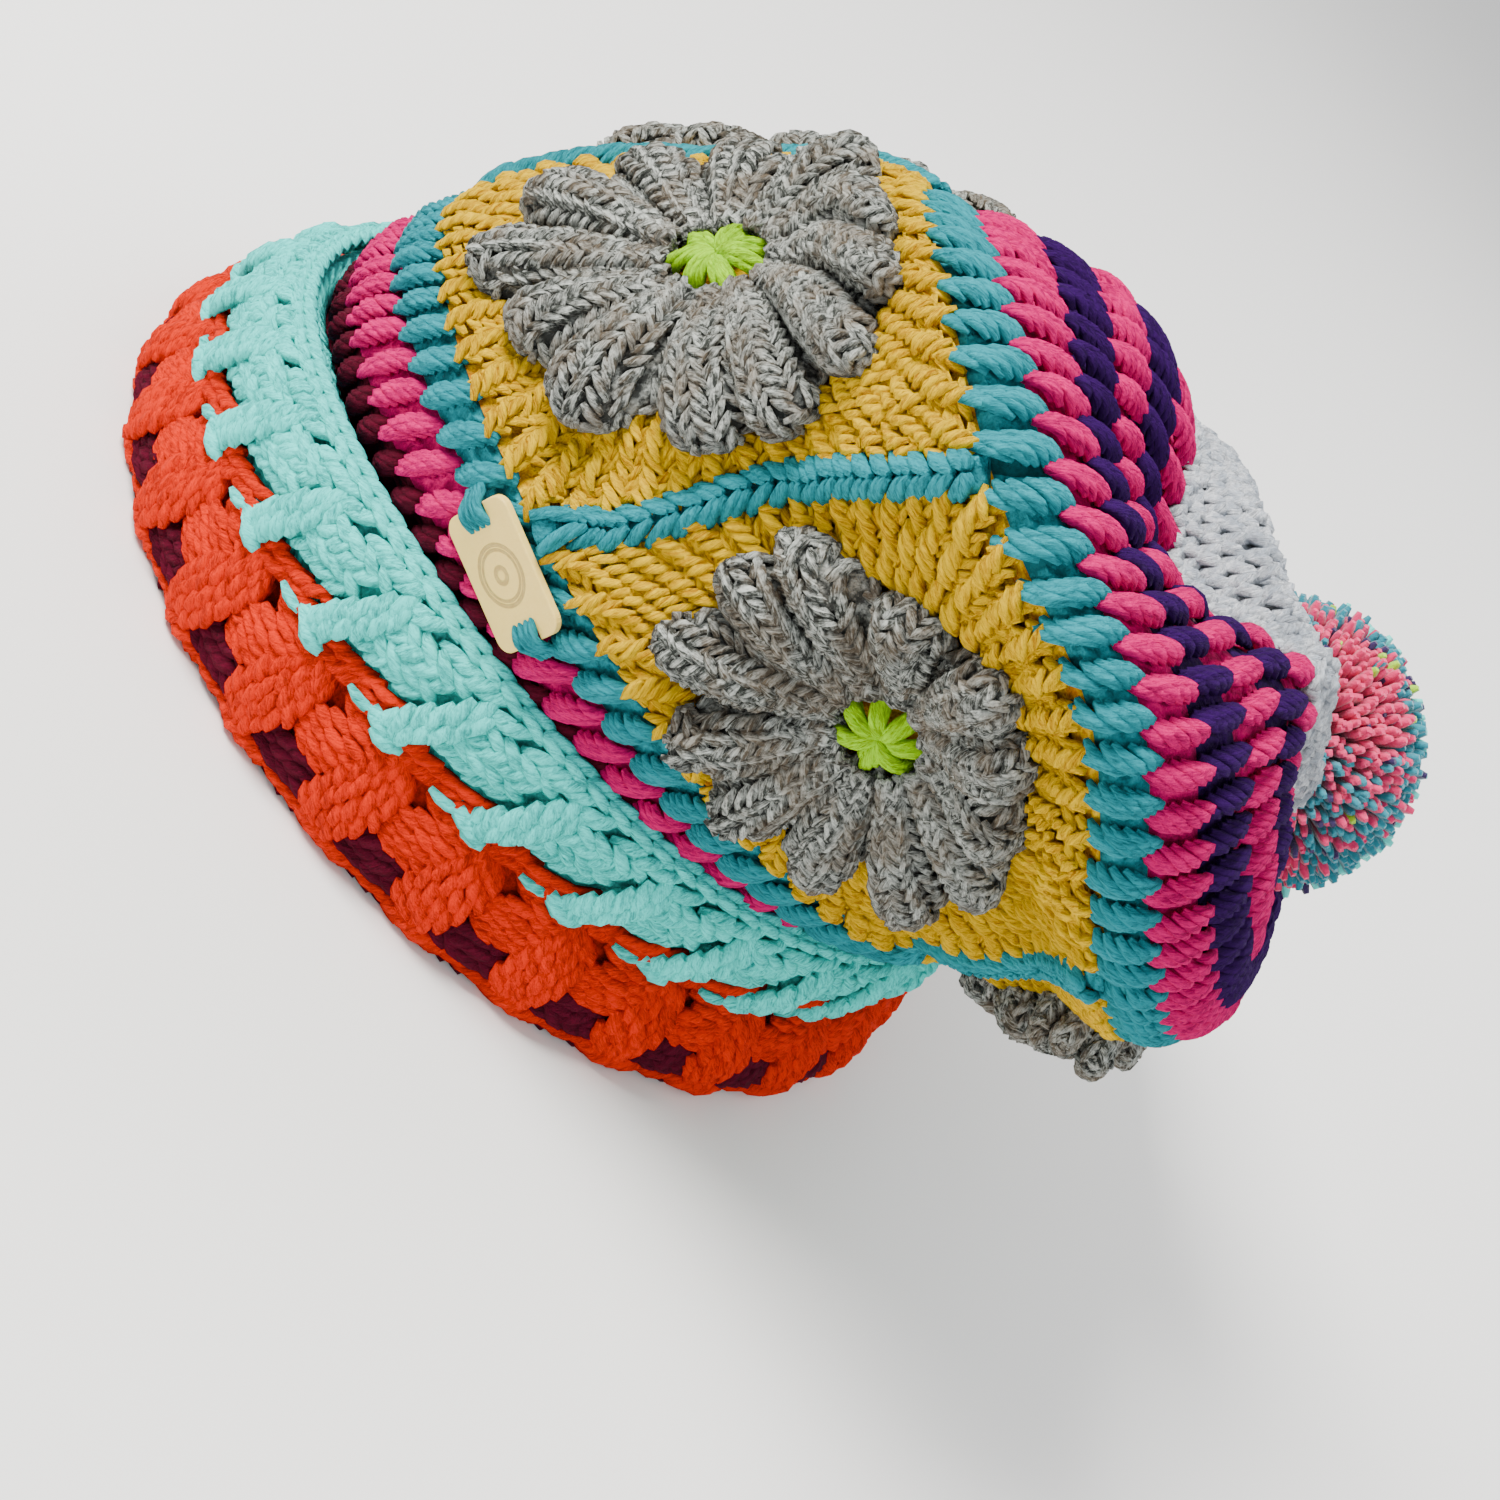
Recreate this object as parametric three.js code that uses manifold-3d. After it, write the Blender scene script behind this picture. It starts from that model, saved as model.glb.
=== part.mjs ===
// Slouchy crochet hat with a folded cuff, five square flower motifs, a striped crown and a bobble.
// Millimetres, +Z up. The hat rests on the flat underside of its cuff. The forehead side is -Y,
// the nape +Y and the wearer's left +X.
import * as THREE from "three";
import { mergeVertices } from "three/addons/utils/BufferGeometryUtils.js";
import Module from "manifold-3d";

const MOTIFS = 5;
const CELLS_PER_MOTIF = 9;
const PANEL_ROWS = 7;
const WALL = 5;
const GAP = 0.36;
const SEAM_LOW = 6;
const SEAM_HIGH = -10.5;
const VALLEY_WIDTH = 26;
const LOBE_ANGLE = 22;
const LOBE_WIDTH = 17;
const CENTRE_OF_HAT = { x: -8.9, y: 23.3 };

// Every row is an oval section of the fabric. side, back and height place its middle. leanBack and
// leanRight tilt it, in degrees. left, right, front and rear are its half-axes, rise lifts the ears
// over the forehead, and valley and lobe shape the slouch of the crown.
const SECTIONS = [
  { name: "foot", side: 0, back: 0, height: 0, leanBack: 0, leanRight: 0, left: 92,
    right: 92, front: 101, rear: 101, rise: 0, valley: 0, lobe: 0 },
  { name: "inside_cuff", side: 0, back: 2, height: 40, leanBack: 0, leanRight: 0, left: 90,
    right: 90, front: 86, rear: 92, rise: 6, valley: 0, lobe: 0 },
  { name: "burgundy", side: 0, back: 6, height: 53, leanBack: 3, leanRight: 1, left: 96,
    right: 94, front: 88, rear: 89, rise: 7, valley: 0, lobe: 0 },
  { name: "pink", side: 0, back: 12, height: 62, leanBack: 5, leanRight: 2, left: 97,
    right: 95, front: 91, rear: 91, rise: 8, valley: 0, lobe: 0 },
  { name: "teal", side: 0, back: 18, height: 71, leanBack: 6, leanRight: 3, left: 99,
    right: 97, front: 92, rear: 92, rise: 7, valley: 0, lobe: 0 },
  { name: "motif_low", side: -2.5, back: 31.5, height: 82, leanBack: 10, leanRight: 4, left: 93,
    right: 108, front: 96, rear: 82.5, rise: 4, valley: 0, lobe: 0 },
  { name: "motif_middle", side: -1.5, back: 47.5, height: 97, leanBack: 16.5, leanRight: 11, left: 89.5,
    right: 122, front: 92.5, rear: 79.5, rise: 8, valley: 0, lobe: 0 },
  { name: "motif_high", side: 3, back: 66, height: 114, leanBack: 20.5, leanRight: 16.5, left: 89.5,
    right: 129.5, front: 93, rear: 73.5, rise: 11, valley: 17, lobe: 0 },
  { name: "rim", side: 23, back: 87.5, height: 125.5, leanBack: 22, leanRight: 19, left: 88.5,
    right: 136.5, front: 92, rear: 66, rise: 10, valley: 5, lobe: 3 },
];

// The crown's rounds lie in the tilted plane of the rim: side and back shift their middles in it,
// raise lifts their near side off it and farRaise the far side, and the other columns are as above.
const CROWN = [
  { name: "teal_upper", side: 0, back: 2, raise: 8, farRaise: 8, left: 87, right: 130, front: 87, rear: 67,
    valley: 3, lobe: 3.5 },
  { name: "pink_1", side: -1, back: 4, raise: 16.5, farRaise: 15, left: 80, right: 120, front: 82, rear: 62,
    valley: 6, lobe: 3 },
  { name: "purple_1", side: -4, back: 5, raise: 23, farRaise: 18, left: 71, right: 107, front: 75, rear: 54,
    valley: 10, lobe: 3 },
  { name: "pink_2", side: -8, back: 5, raise: 28, farRaise: 17, left: 65, right: 92, front: 68, rear: 46,
    valley: 13.5, lobe: 4 },
  { name: "purple_2", side: -12, back: 6, raise: 30.5, farRaise: 14, left: 56, right: 76, front: 58, rear: 39,
    valley: 16, lobe: 6 },
  { name: "pink_3", side: -17, back: 7, raise: 30, farRaise: 9, left: 48, right: 60, front: 48, rear: 32,
    valley: 13, lobe: 8 },
  { name: "grey", side: -26, back: 10, raise: 35, farRaise: 3, left: 40, right: 41, front: 38, rear: 25,
    valley: 1, lobe: 3 },
  { name: "bowl", side: -38, back: 16, raise: 17, farRaise: -3, left: 24, right: 21, front: 22, rear: 15,
    valley: 0, lobe: 0 },
  { name: "tip", side: -50, back: 22, raise: -6, farRaise: -6, left: 0, right: 0, front: 0, rear: 0,
    valley: 0, lobe: 0 },
];

// Outer face of the folded cuff, from its rounded lower edge to its chain edge.
const CUFF = [
  { name: "fold", height: 6, left: 101, right: 101, front: 110, rear: 110, rise: 0 },
  { name: "colour_change", height: 27, left: 102, right: 102, front: 101, rear: 101, rise: 5 },
  { name: "top", height: 50, left: 99.5, right: 99.5, front: 90.5, rear: 104.5, rise: 6 },
];
const FAR_SIDE = { angle: 165, from: 40, to: 110 };
const CUFF_RIBS = 27;
const RIB_DEPTH = 1.8;

const FLOWER = { petals: 12, reachAlong: 0.34, reachUp: 0.45, groove: 0.8, hole: 0.25, bottom: 1.5, thick: 11 };
const FLOWER_PLACES = [
  { along: 0.435, up: 0.44 },
  { along: 0.46, up: 0.5 },
  { along: 0.5, up: 0.5 },
  { along: 0.5, up: 0.46 },
  { along: 0.59, up: 0.5 },
];
const SEAM_RIDGE = { halfWidth: 3.8, bottom: 1.3, top: 5.4, steps: 12 };
const POMPOM = { side: -50, back: 22, raise: 25.5, radius: 30, core: 26, locks: 26 };
const TAG = { length: 27, width: 18, thick: 1.6, corner: 3, notch: 6, notchDepth: 3, angle: 10, row: 3.1, tilt: -9 };

const degrees = Math.PI / 180;
const ROW = Object.fromEntries([...SECTIONS, ...CROWN].map((section, index) => [section.name, index]));
const RIM = ROW.rim;
const LAST = ROW.tip;

const hat = new THREE.Group();
hat.name = "hat";

function turnBetween(angle, other) {
  const turn = (angle - other) % (2 * Math.PI);
  if (turn > Math.PI) return turn - 2 * Math.PI;
  if (turn < -Math.PI) return turn + 2 * Math.PI;
  return turn;
}

function seamAngle(row) {
  const part = THREE.MathUtils.clamp((row - ROW.teal) / (RIM - ROW.teal), 0, 1);
  return (SEAM_LOW + (SEAM_HIGH - SEAM_LOW) * part) * degrees;
}

function tiltedAxes(leanBack, leanRight) {
  const back = leanBack * degrees;
  const right = leanRight * degrees;
  const up = new THREE.Vector3(
    -Math.sin(right),
    Math.sin(back) * Math.cos(right),
    Math.cos(back) * Math.cos(right),
  );
  const across = new THREE.Vector3(1, 0, 0).addScaledVector(up, -up.x).normalize();
  const along = new THREE.Vector3().crossVectors(up, across);
  return { up, across, along };
}

// The crown stands up on the near side and lies low on the far side, where the bobble hangs.
function nearness(angle) {
  const away = Math.abs(turnBetween(angle, FAR_SIDE.angle * degrees)) / degrees;
  return THREE.MathUtils.smoothstep(away, FAR_SIDE.from, FAR_SIDE.to);
}

// A point of one section at an oval angle. Past the tip the sections repeat on the far side.
function sectionPoint(index, angle) {
  if (index > LAST) return sectionPoint(2 * LAST - index, angle + Math.PI);
  if (index < 0) {
    return sectionPoint(0, angle).multiplyScalar(2).sub(sectionPoint(-index, angle));
  }
  const crown = index > RIM ? CROWN[index - RIM - 1] : null;
  const base = SECTIONS[Math.min(index, RIM)];
  const { left, right, front, rear, valley, lobe } = crown ?? base;
  const { up, across, along } = tiltedAxes(base.leanBack, base.leanRight);
  const point = new THREE.Vector3(base.side, base.back, base.height);
  if (crown) {
    point.addScaledVector(up, THREE.MathUtils.lerp(crown.farRaise, crown.raise, nearness(angle)));
    point.addScaledVector(across, crown.side);
    point.addScaledVector(along, crown.back);
  }
  const cosine = Math.cos(angle);
  const sine = Math.sin(angle);
  point.addScaledVector(across, cosine * (cosine > 0 ? left : right));
  point.addScaledVector(along, sine * (sine > 0 ? rear : front));
  point.z += (left / base.left) * base.rise * Math.cos(2 * angle);
  const seam = seamAngle(Math.min(index, RIM));
  const fromValley = turnBetween(angle, seam) / degrees / VALLEY_WIDTH;
  const fromLobe = (turnBetween(angle, 0) / degrees - LOBE_ANGLE) / LOBE_WIDTH;
  point.addScaledVector(up, lobe * Math.exp(-fromLobe * fromLobe));
  point.addScaledVector(up, -valley * Math.exp(-fromValley * fromValley));
  return point;
}

// The fabric's outer face, a smooth curve through the sections at every angle.
function fabricPoint(angle, row) {
  const index = THREE.MathUtils.clamp(Math.floor(row), 0, LAST - 1);
  const t = row - index;
  const a = sectionPoint(index - 1, angle);
  const b = sectionPoint(index, angle);
  const c = sectionPoint(index + 1, angle);
  const d = sectionPoint(index + 2, angle);
  const weights = [
    0.5 * (-t + 2 * t * t - t * t * t),
    0.5 * (2 - 5 * t * t + 3 * t * t * t),
    0.5 * (t + 4 * t * t - 3 * t * t * t),
    0.5 * (-t * t + t * t * t),
  ];
  const point = a.multiplyScalar(weights[0])
    .addScaledVector(b, weights[1])
    .addScaledVector(c, weights[2])
    .addScaledVector(d, weights[3]);
  return row > RIM + 1 ? pressSeat(point) : point;
}

// The bobble's weight presses a round seat into the crown.
function pressSeat(point) {
  const rim = SECTIONS[RIM];
  const { up, across, along } = tiltedAxes(rim.leanBack, rim.leanRight);
  const offset = point.clone().sub(new THREE.Vector3(rim.side, rim.back, rim.height));
  const away = Math.hypot(offset.dot(across) - POMPOM.side, offset.dot(along) - POMPOM.back);
  const reach = POMPOM.radius + 2.5;
  if (away >= reach) return point;
  const seat = POMPOM.raise - Math.sqrt(reach * reach - away * away);
  const depth = Math.max(offset.dot(up) - seat, 0);
  return point.addScaledVector(up, -depth);
}

function rowDirection(angle, row) {
  const low = Math.max(row - 0.01, 0);
  const high = Math.min(row + 0.01, LAST);
  return fabricPoint(angle, high).sub(fabricPoint(angle, low)).divideScalar(high - low);
}

function outward(angle, row) {
  const inside = Math.min(row, LAST - 0.02);
  const round = fabricPoint(angle + 0.01, inside).sub(fabricPoint(angle - 0.01, inside));
  return round.cross(rowDirection(angle, inside)).normalize();
}

// A point height above the fabric, and shift millimetres further up the hat than its row.
function skinPoint(angle, row, height, shift = 0) {
  const moved = shift === 0 ? row : row + shift / rowDirection(angle, row).length();
  return fabricPoint(angle, moved).addScaledVector(outward(angle, row), height);
}

// Millimetres from the motif's foot to its head along one line of stitches, for 24 steps.
const lineCache = new Map();
function stitchLine(motif, along) {
  const key = `${motif}:${along.toFixed(5)}`;
  if (lineCache.has(key)) return lineCache.get(key);
  const steps = 24;
  const lengths = [0];
  let last = null;
  for (let step = 0; step <= steps; step += 1) {
    const row = ROW.teal + ((RIM - ROW.teal) * step) / steps;
    const point = fabricPoint(motifAngle(motif, along, row), row);
    if (last) lengths.push(lengths[step - 1] + point.distanceTo(last));
    last = point;
  }
  lineCache.set(key, lengths);
  return lengths;
}

function motifAngle(motif, along, row) {
  return seamAngle(row) + ((motif + along) * 2 * Math.PI) / MOTIFS;
}

function motifRow(motif, along, up) {
  const lengths = stitchLine(motif, along);
  const wanted = up * lengths.at(-1);
  let step = 0;
  while (step < lengths.length - 2 && lengths[step + 1] < wanted) step += 1;
  const part = (wanted - lengths[step]) / (lengths[step + 1] - lengths[step]);
  return ROW.teal + ((RIM - ROW.teal) * (step + part)) / (lengths.length - 1);
}

// A point of a motif: along and up run from 0 to 1 over its square, height is above the fabric.
function motifPoint(motif, along, up, height, shiftAlong = 0, shiftUp = 0) {
  const row = motifRow(motif, along, up);
  const angle = motifAngle(motif, along, row);
  const point = skinPoint(angle, row, height, shiftUp);
  if (shiftAlong === 0) return point;
  const round = fabricPoint(angle + 0.01, row).sub(fabricPoint(angle - 0.01, row)).normalize();
  return point.addScaledVector(round, shiftAlong);
}

function closedBody(points, triangles) {
  const geometry = new THREE.BufferGeometry();
  geometry.setAttribute("position", new THREE.Float32BufferAttribute(points.flatMap((p) => p.toArray()), 3));
  geometry.setIndex(triangles.flat());
  return geometry;
}

function addPiece(name, geometry, colour, roughness = 0.95) {
  const material = new THREE.MeshStandardMaterial({ color: colour, roughness, metalness: 0 });
  const mesh = new THREE.Mesh(geometry, material);
  mesh.name = name;
  hat.add(mesh);
  return mesh;
}

// A closed profile swept round the hat. corner(angle, k) gives the profile's corner k, listed so
// that the profile turns from the outer face over the top to the inner face.
function sweptRing(angles, corners, corner) {
  const points = [];
  const triangles = [];
  angles.forEach((angle, i) => {
    const next = (i + 1) % angles.length;
    for (let k = 0; k < corners; k += 1) {
      points.push(corner(angle, k));
      const kNext = (k + 1) % corners;
      const a = i * corners + k;
      const b = next * corners + k;
      const c = next * corners + kNext;
      const d = i * corners + kNext;
      if (kNext > 0) triangles.push([a, b, c], [a, c, d]);
      else triangles.push([a, b, d], [b, c, d]);
    }
  });
  return closedBody(points, triangles);
}

// A closed slab over a grid: corner(i, j, side) with side 1 outside and 0 inside.
function slab(columns, rows, corner) {
  const points = [];
  const at = (i, j, side) => side * (columns + 1) * (rows + 1) + j * (columns + 1) + i;
  for (const side of [0, 1]) {
    for (let j = 0; j <= rows; j += 1) {
      for (let i = 0; i <= columns; i += 1) points.push(corner(i / columns, j / rows, side));
    }
  }
  const triangles = [];
  const quad = (a, b, c, d) => triangles.push([a, b, c], [a, c, d]);
  for (let j = 0; j < rows; j += 1) {
    for (let i = 0; i < columns; i += 1) {
      quad(at(i, j, 1), at(i + 1, j, 1), at(i + 1, j + 1, 1), at(i, j + 1, 1));
      quad(at(i, j, 0), at(i, j + 1, 0), at(i + 1, j + 1, 0), at(i + 1, j, 0));
    }
  }
  for (let i = 0; i < columns; i += 1) {
    quad(at(i + 1, 0, 0), at(i + 1, 0, 1), at(i, 0, 1), at(i, 0, 0));
    quad(at(i, rows, 1), at(i + 1, rows, 1), at(i + 1, rows, 0), at(i, rows, 0));
  }
  for (let j = 0; j < rows; j += 1) {
    quad(at(0, j, 1), at(0, j + 1, 1), at(0, j + 1, 0), at(0, j, 0));
    quad(at(columns, j + 1, 0), at(columns, j + 1, 1), at(columns, j, 1), at(columns, j, 0));
  }
  return closedBody(points, triangles);
}

function anglesOnSeams(row) {
  const count = MOTIFS * CELLS_PER_MOTIF;
  return Array.from({ length: count }, (_, i) => seamAngle(row) + (i * 2 * Math.PI) / count);
}

// Rounds of the wall: each has a swelling outer face and a plain inner face.
const HALF = GAP / 2;
const ROUNDS = [
  { name: "round_pink_lower", from: ROW.burgundy, to: ROW.pink, colour: 0xe12f82 },
  { name: "round_teal_lower", from: ROW.pink, to: ROW.teal, colour: 0x3296a5 },
  { name: "round_teal_upper", from: ROW.rim, to: ROW.teal_upper, colour: 0x3296a5 },
  { name: "round_pink_1", from: ROW.teal_upper, to: ROW.pink_1, colour: 0xe12f82 },
  { name: "round_purple_1", from: ROW.pink_1, to: ROW.purple_1, colour: 0x3c195f },
  { name: "round_pink_2", from: ROW.purple_1, to: ROW.pink_2, colour: 0xe12f82 },
  { name: "round_purple_2", from: ROW.pink_2, to: ROW.purple_2, colour: 0x3c195f },
  { name: "round_pink_3", from: ROW.purple_2, to: ROW.pink_3, colour: 0xe12f82 },
];
for (const round of ROUNDS) {
  const profile = [
    { row: round.from, shift: HALF, height: -0.8 },
    { row: (round.from + round.to) / 2, shift: 0, height: 0.7 },
    { row: round.to, shift: -HALF, height: -0.8 },
    { row: round.to, shift: -HALF, height: -WALL },
    { row: round.from, shift: HALF, height: -WALL },
  ];
  addPiece(round.name, sweptRing(anglesOnSeams(round.from), profile.length, (angle, k) => {
    const { row, shift, height } = profile[k];
    return skinPoint(angle, row, height, shift);
  }), round.colour);
}

// The burgundy band runs up inside the cuff and shows as one round above it.
const bandProfile = [
  { row: ROW.foot, shift: 0, height: 0 },
  { row: ROW.inside_cuff, shift: 0, height: 0 },
  { row: ROW.burgundy, shift: -HALF, height: -0.8 },
  { row: ROW.burgundy, shift: -HALF, height: -WALL },
  { row: ROW.inside_cuff, shift: 0, height: -WALL },
  { row: ROW.foot, shift: 0, height: -WALL },
];
addPiece("inner_band", sweptRing(anglesOnSeams(ROW.burgundy), bandProfile.length, (angle, k) => {
  const { row, shift, height } = bandProfile[k];
  const point = skinPoint(angle, row, height, shift);
  if (row === ROW.foot) point.z = 0;
  return point;
}), 0x5a1428);

// The light grey middle of the crown is drawn in to a point below the bobble.
const capProfile = [
  { row: ROW.pink_3, shift: HALF, height: -0.8 },
  { row: ROW.pink_3 + 0.55, shift: 0, height: 0 },
  { row: ROW.grey + 0.15, shift: 0, height: 0 },
  { row: ROW.grey + 0.7, shift: 0, height: 0 },
  { row: ROW.bowl + 0.35, shift: 0, height: 0 },
  { row: ROW.tip - 0.08, shift: 0, height: 0 },
  { row: ROW.tip - 0.08, shift: 0, height: -WALL },
  { row: ROW.grey + 0.5, shift: 0, height: -WALL },
  { row: ROW.pink_3, shift: HALF, height: -WALL },
];
addPiece("crown_cap", sweptRing(anglesOnSeams(RIM), capProfile.length, (angle, k) => {
  const { row, shift, height } = capProfile[k];
  return skinPoint(angle, row, height, shift);
}), 0xbec3c8);

// The folded cuff: orange below, aqua above, ribbed outside, lying on the band inside.
function cuffPoint(angle, height, out) {
  const level = (ring) => ring.height + ring.rise * Math.cos(2 * angle);
  const place = (ring) => new THREE.Vector3(
    (Math.cos(angle) > 0 ? ring.left : ring.right) * Math.cos(angle),
    (Math.sin(angle) > 0 ? ring.rear : ring.front) * Math.sin(angle),
    level(ring),
  );
  const [fold, change, top] = CUFF.map(place);
  const share = THREE.MathUtils.clamp(height, 0, 2);
  const point = share < 1 ? fold.lerp(change, share) : change.lerp(top, share - 1);
  return point.addScaledVector(new THREE.Vector3(Math.cos(angle), Math.sin(angle), 0), out);
}
function ribOut(angle) {
  return (RIB_DEPTH / 2) * (Math.cos(angle * CUFF_RIBS) - 1);
}
const cuffAngles = Array.from({ length: CUFF_RIBS * 2 }, (_, i) => (i * Math.PI) / CUFF_RIBS);
addPiece("cuff_orange", sweptRing(cuffAngles, 7, (angle, k) => {
  if (k === 0) return cuffPoint(angle, 0, -3.2).setZ(0);
  if (k === 1) return cuffPoint(angle, 0, 0);
  if (k === 2) return cuffPoint(angle, 0.5, ribOut(angle));
  if (k === 3) return cuffPoint(angle, 1, ribOut(angle)).add(new THREE.Vector3(0, 0, -HALF));
  const low = skinPoint(angle, k === 4 ? 0.5 : 0.25, 0.5);
  if (k === 4) return low.setZ(cuffPoint(angle, 1, 0).z - HALF);
  if (k === 5) return low;
  return skinPoint(angle, 0, 0.5).setZ(0);
}), 0xe13c14);
addPiece("cuff_aqua", sweptRing(cuffAngles, 6, (angle, k) => {
  if (k === 0) return cuffPoint(angle, 1, ribOut(angle)).add(new THREE.Vector3(0, 0, HALF));
  if (k === 1) return cuffPoint(angle, 1.5, ribOut(angle) + 0.8);
  if (k === 2) return cuffPoint(angle, 1.93, 0);
  if (k === 3) return cuffPoint(angle, 2, -3);
  if (k === 4) return skinPoint(angle, 1, 0.5);
  return skinPoint(angle, 0.5, 0.5).setZ(cuffPoint(angle, 1, 0).z + HALF);
}), 0x6ee1d7);

// Five square motifs, each with its flower, the flower's eye and the ridge on its first side.
for (let motif = 0; motif < MOTIFS; motif += 1) {
  const number = motif + 1;
  addPiece(`panel_${number}`, slab(CELLS_PER_MOTIF, PANEL_ROWS, (along, up, side) => {
    const shiftAlong = along === 0 ? HALF : along === 1 ? -HALF : 0;
    const shiftUp = up === 0 ? HALF : up === 1 ? -HALF : 0;
    const atEdge = up === 0 || up === 1;
    const height = side === 1 ? (atEdge ? -0.8 : 0) : -WALL;
    return motifPoint(motif, along, up, height, shiftAlong, shiftUp);
  }), 0xebb914);

  const place = FLOWER_PLACES[motif];
  const petalPoint = (turn, share, height) => {
    const along = place.along + FLOWER.reachAlong * share * Math.cos(turn);
    const up = place.up + FLOWER.reachUp * share * Math.sin(turn);
    return motifPoint(motif, along, up, height);
  };
  const perPetal = 3;
  const turns = Array.from({ length: FLOWER.petals * perPetal }, (_, i) => i);
  const flowerRings = [
    { share: FLOWER.hole, top: false },
    { share: 0.62, top: false },
    { share: 1, top: false },
    { share: 0.9, top: true, petal: 1, groove: 0.35 },
    { share: 0.55, top: true, petal: 0.85, groove: 0.35 },
    { share: FLOWER.hole, top: true, petal: 0.5, groove: 0.3 },
  ];
  const flowerPoints = [];
  const flowerTriangles = [];
  turns.forEach((i) => {
    const inGroove = i % perPetal === 0;
    const turn = ((i + (i % perPetal === 1 ? -0.15 : i % perPetal === 2 ? 0.15 : 0)) * 2 * Math.PI) / turns.length;
    flowerRings.forEach((ring, k) => {
      const outer = ring.share > 0.5 && inGroove ? FLOWER.groove : 1;
      const height = ring.top ? FLOWER.thick * (inGroove ? ring.groove : ring.petal) : FLOWER.bottom;
      flowerPoints.push(petalPoint(turn, ring.share * outer, height));
      const next = ((i + 1) % turns.length) * flowerRings.length;
      const kNext = (k + 1) % flowerRings.length;
      const here = i * flowerRings.length;
      flowerTriangles.push([here + k, next + k, next + kNext], [here + k, next + kNext, here + kNext]);
    });
  });
  addPiece(`flower_${number}`, closedBody(flowerPoints, flowerTriangles), 0x737373);

  const eyePoints = [petalPoint(0, 0, FLOWER.bottom), petalPoint(0, 0, 7.5)];
  const eyeTriangles = [];
  for (let i = 0; i < 12; i += 1) {
    const share = (i % 2 === 0 ? 0.88 : 0.66) * FLOWER.hole;
    const turn = (i * Math.PI) / 6;
    eyePoints.push(petalPoint(turn, share, FLOWER.bottom + 0.1), petalPoint(turn, share, 6));
    const low = 2 + i * 2;
    const nextLow = 2 + ((i + 1) % 12) * 2;
    eyeTriangles.push([0, nextLow, low], [1, low + 1, nextLow + 1]);
    eyeTriangles.push([low, nextLow, nextLow + 1], [low, nextLow + 1, low + 1]);
  }
  addPiece(`flower_eye_${number}`, closedBody(eyePoints, eyeTriangles), 0xa0d714);

  const ridge = [
    { along: -SEAM_RIDGE.halfWidth, height: SEAM_RIDGE.bottom },
    { along: SEAM_RIDGE.halfWidth, height: SEAM_RIDGE.bottom },
    { along: SEAM_RIDGE.halfWidth * 0.6, height: SEAM_RIDGE.top },
    { along: -SEAM_RIDGE.halfWidth * 0.6, height: SEAM_RIDGE.top },
  ];
  const ridgePoints = [];
  const ridgeTriangles = [];
  for (let step = 0; step <= SEAM_RIDGE.steps; step += 1) {
    const up = 0.012 + (0.976 * step) / SEAM_RIDGE.steps;
    ridge.forEach((corner, k) => {
      ridgePoints.push(motifPoint(motif, 0, up, corner.height, corner.along));
      if (step === SEAM_RIDGE.steps) return;
      const kNext = (k + 1) % ridge.length;
      const a = step * ridge.length;
      const b = a + ridge.length;
      ridgeTriangles.push([a + k, b + kNext, a + kNext], [a + k, b + k, b + kNext]);
    });
  }
  const end = SEAM_RIDGE.steps * ridge.length;
  ridgeTriangles.push([0, 1, 2], [0, 2, 3], [end, end + 2, end + 1], [end, end + 3, end + 2]);
  addPiece(`seam_${number}`, closedBody(ridgePoints, ridgeTriangles), 0x3296a5);
}

// The bobble: a ball with blunt locks of cut yarn standing out of it, joined to one body.
const wasm = await Module();
wasm.setup();
function toSolid(source) {
  const geometry = source.clone();
  geometry.deleteAttribute("normal");
  geometry.deleteAttribute("uv");
  const merged = mergeVertices(geometry, 1e-4);
  return new wasm.Manifold(new wasm.Mesh({
    numProp: 3,
    vertProperties: new Float32Array(merged.attributes.position.array),
    triVerts: new Uint32Array(merged.index.array),
  }));
}
let bobble = toSolid(new THREE.IcosahedronGeometry(POMPOM.core, 1));
for (let i = 0; i < POMPOM.locks; i += 1) {
  const height = 1 - (2 * i + 1) / POMPOM.locks;
  const turn = i * Math.PI * (3 - Math.sqrt(5));
  const direction = new THREE.Vector3(
    Math.sqrt(1 - height * height) * Math.cos(turn),
    Math.sqrt(1 - height * height) * Math.sin(turn),
    height,
  );
  const lock = new THREE.CylinderGeometry(5.2, 3.6, POMPOM.radius - 15, 5);
  lock.translate(0, 15 + (POMPOM.radius - 15) / 2, 0);
  lock.applyQuaternion(new THREE.Quaternion().setFromUnitVectors(new THREE.Vector3(0, 1, 0), direction));
  bobble = bobble.add(toSolid(lock));
}
const bobbleMesh = bobble.getMesh();
const bobbleGeometry = new THREE.BufferGeometry();
bobbleGeometry.setAttribute("position", new THREE.Float32BufferAttribute(bobbleMesh.vertProperties, 3));
bobbleGeometry.setIndex(Array.from(bobbleMesh.triVerts));
const rim = SECTIONS[RIM];
const rimAxes = tiltedAxes(rim.leanBack, rim.leanRight);
addPiece("pompom", bobbleGeometry, 0xb43c78).position
  .set(rim.side, rim.back, rim.height)
  .addScaledVector(rimAxes.across, POMPOM.side)
  .addScaledVector(rimAxes.along, POMPOM.back)
  .addScaledVector(rimAxes.up, POMPOM.raise);

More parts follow.
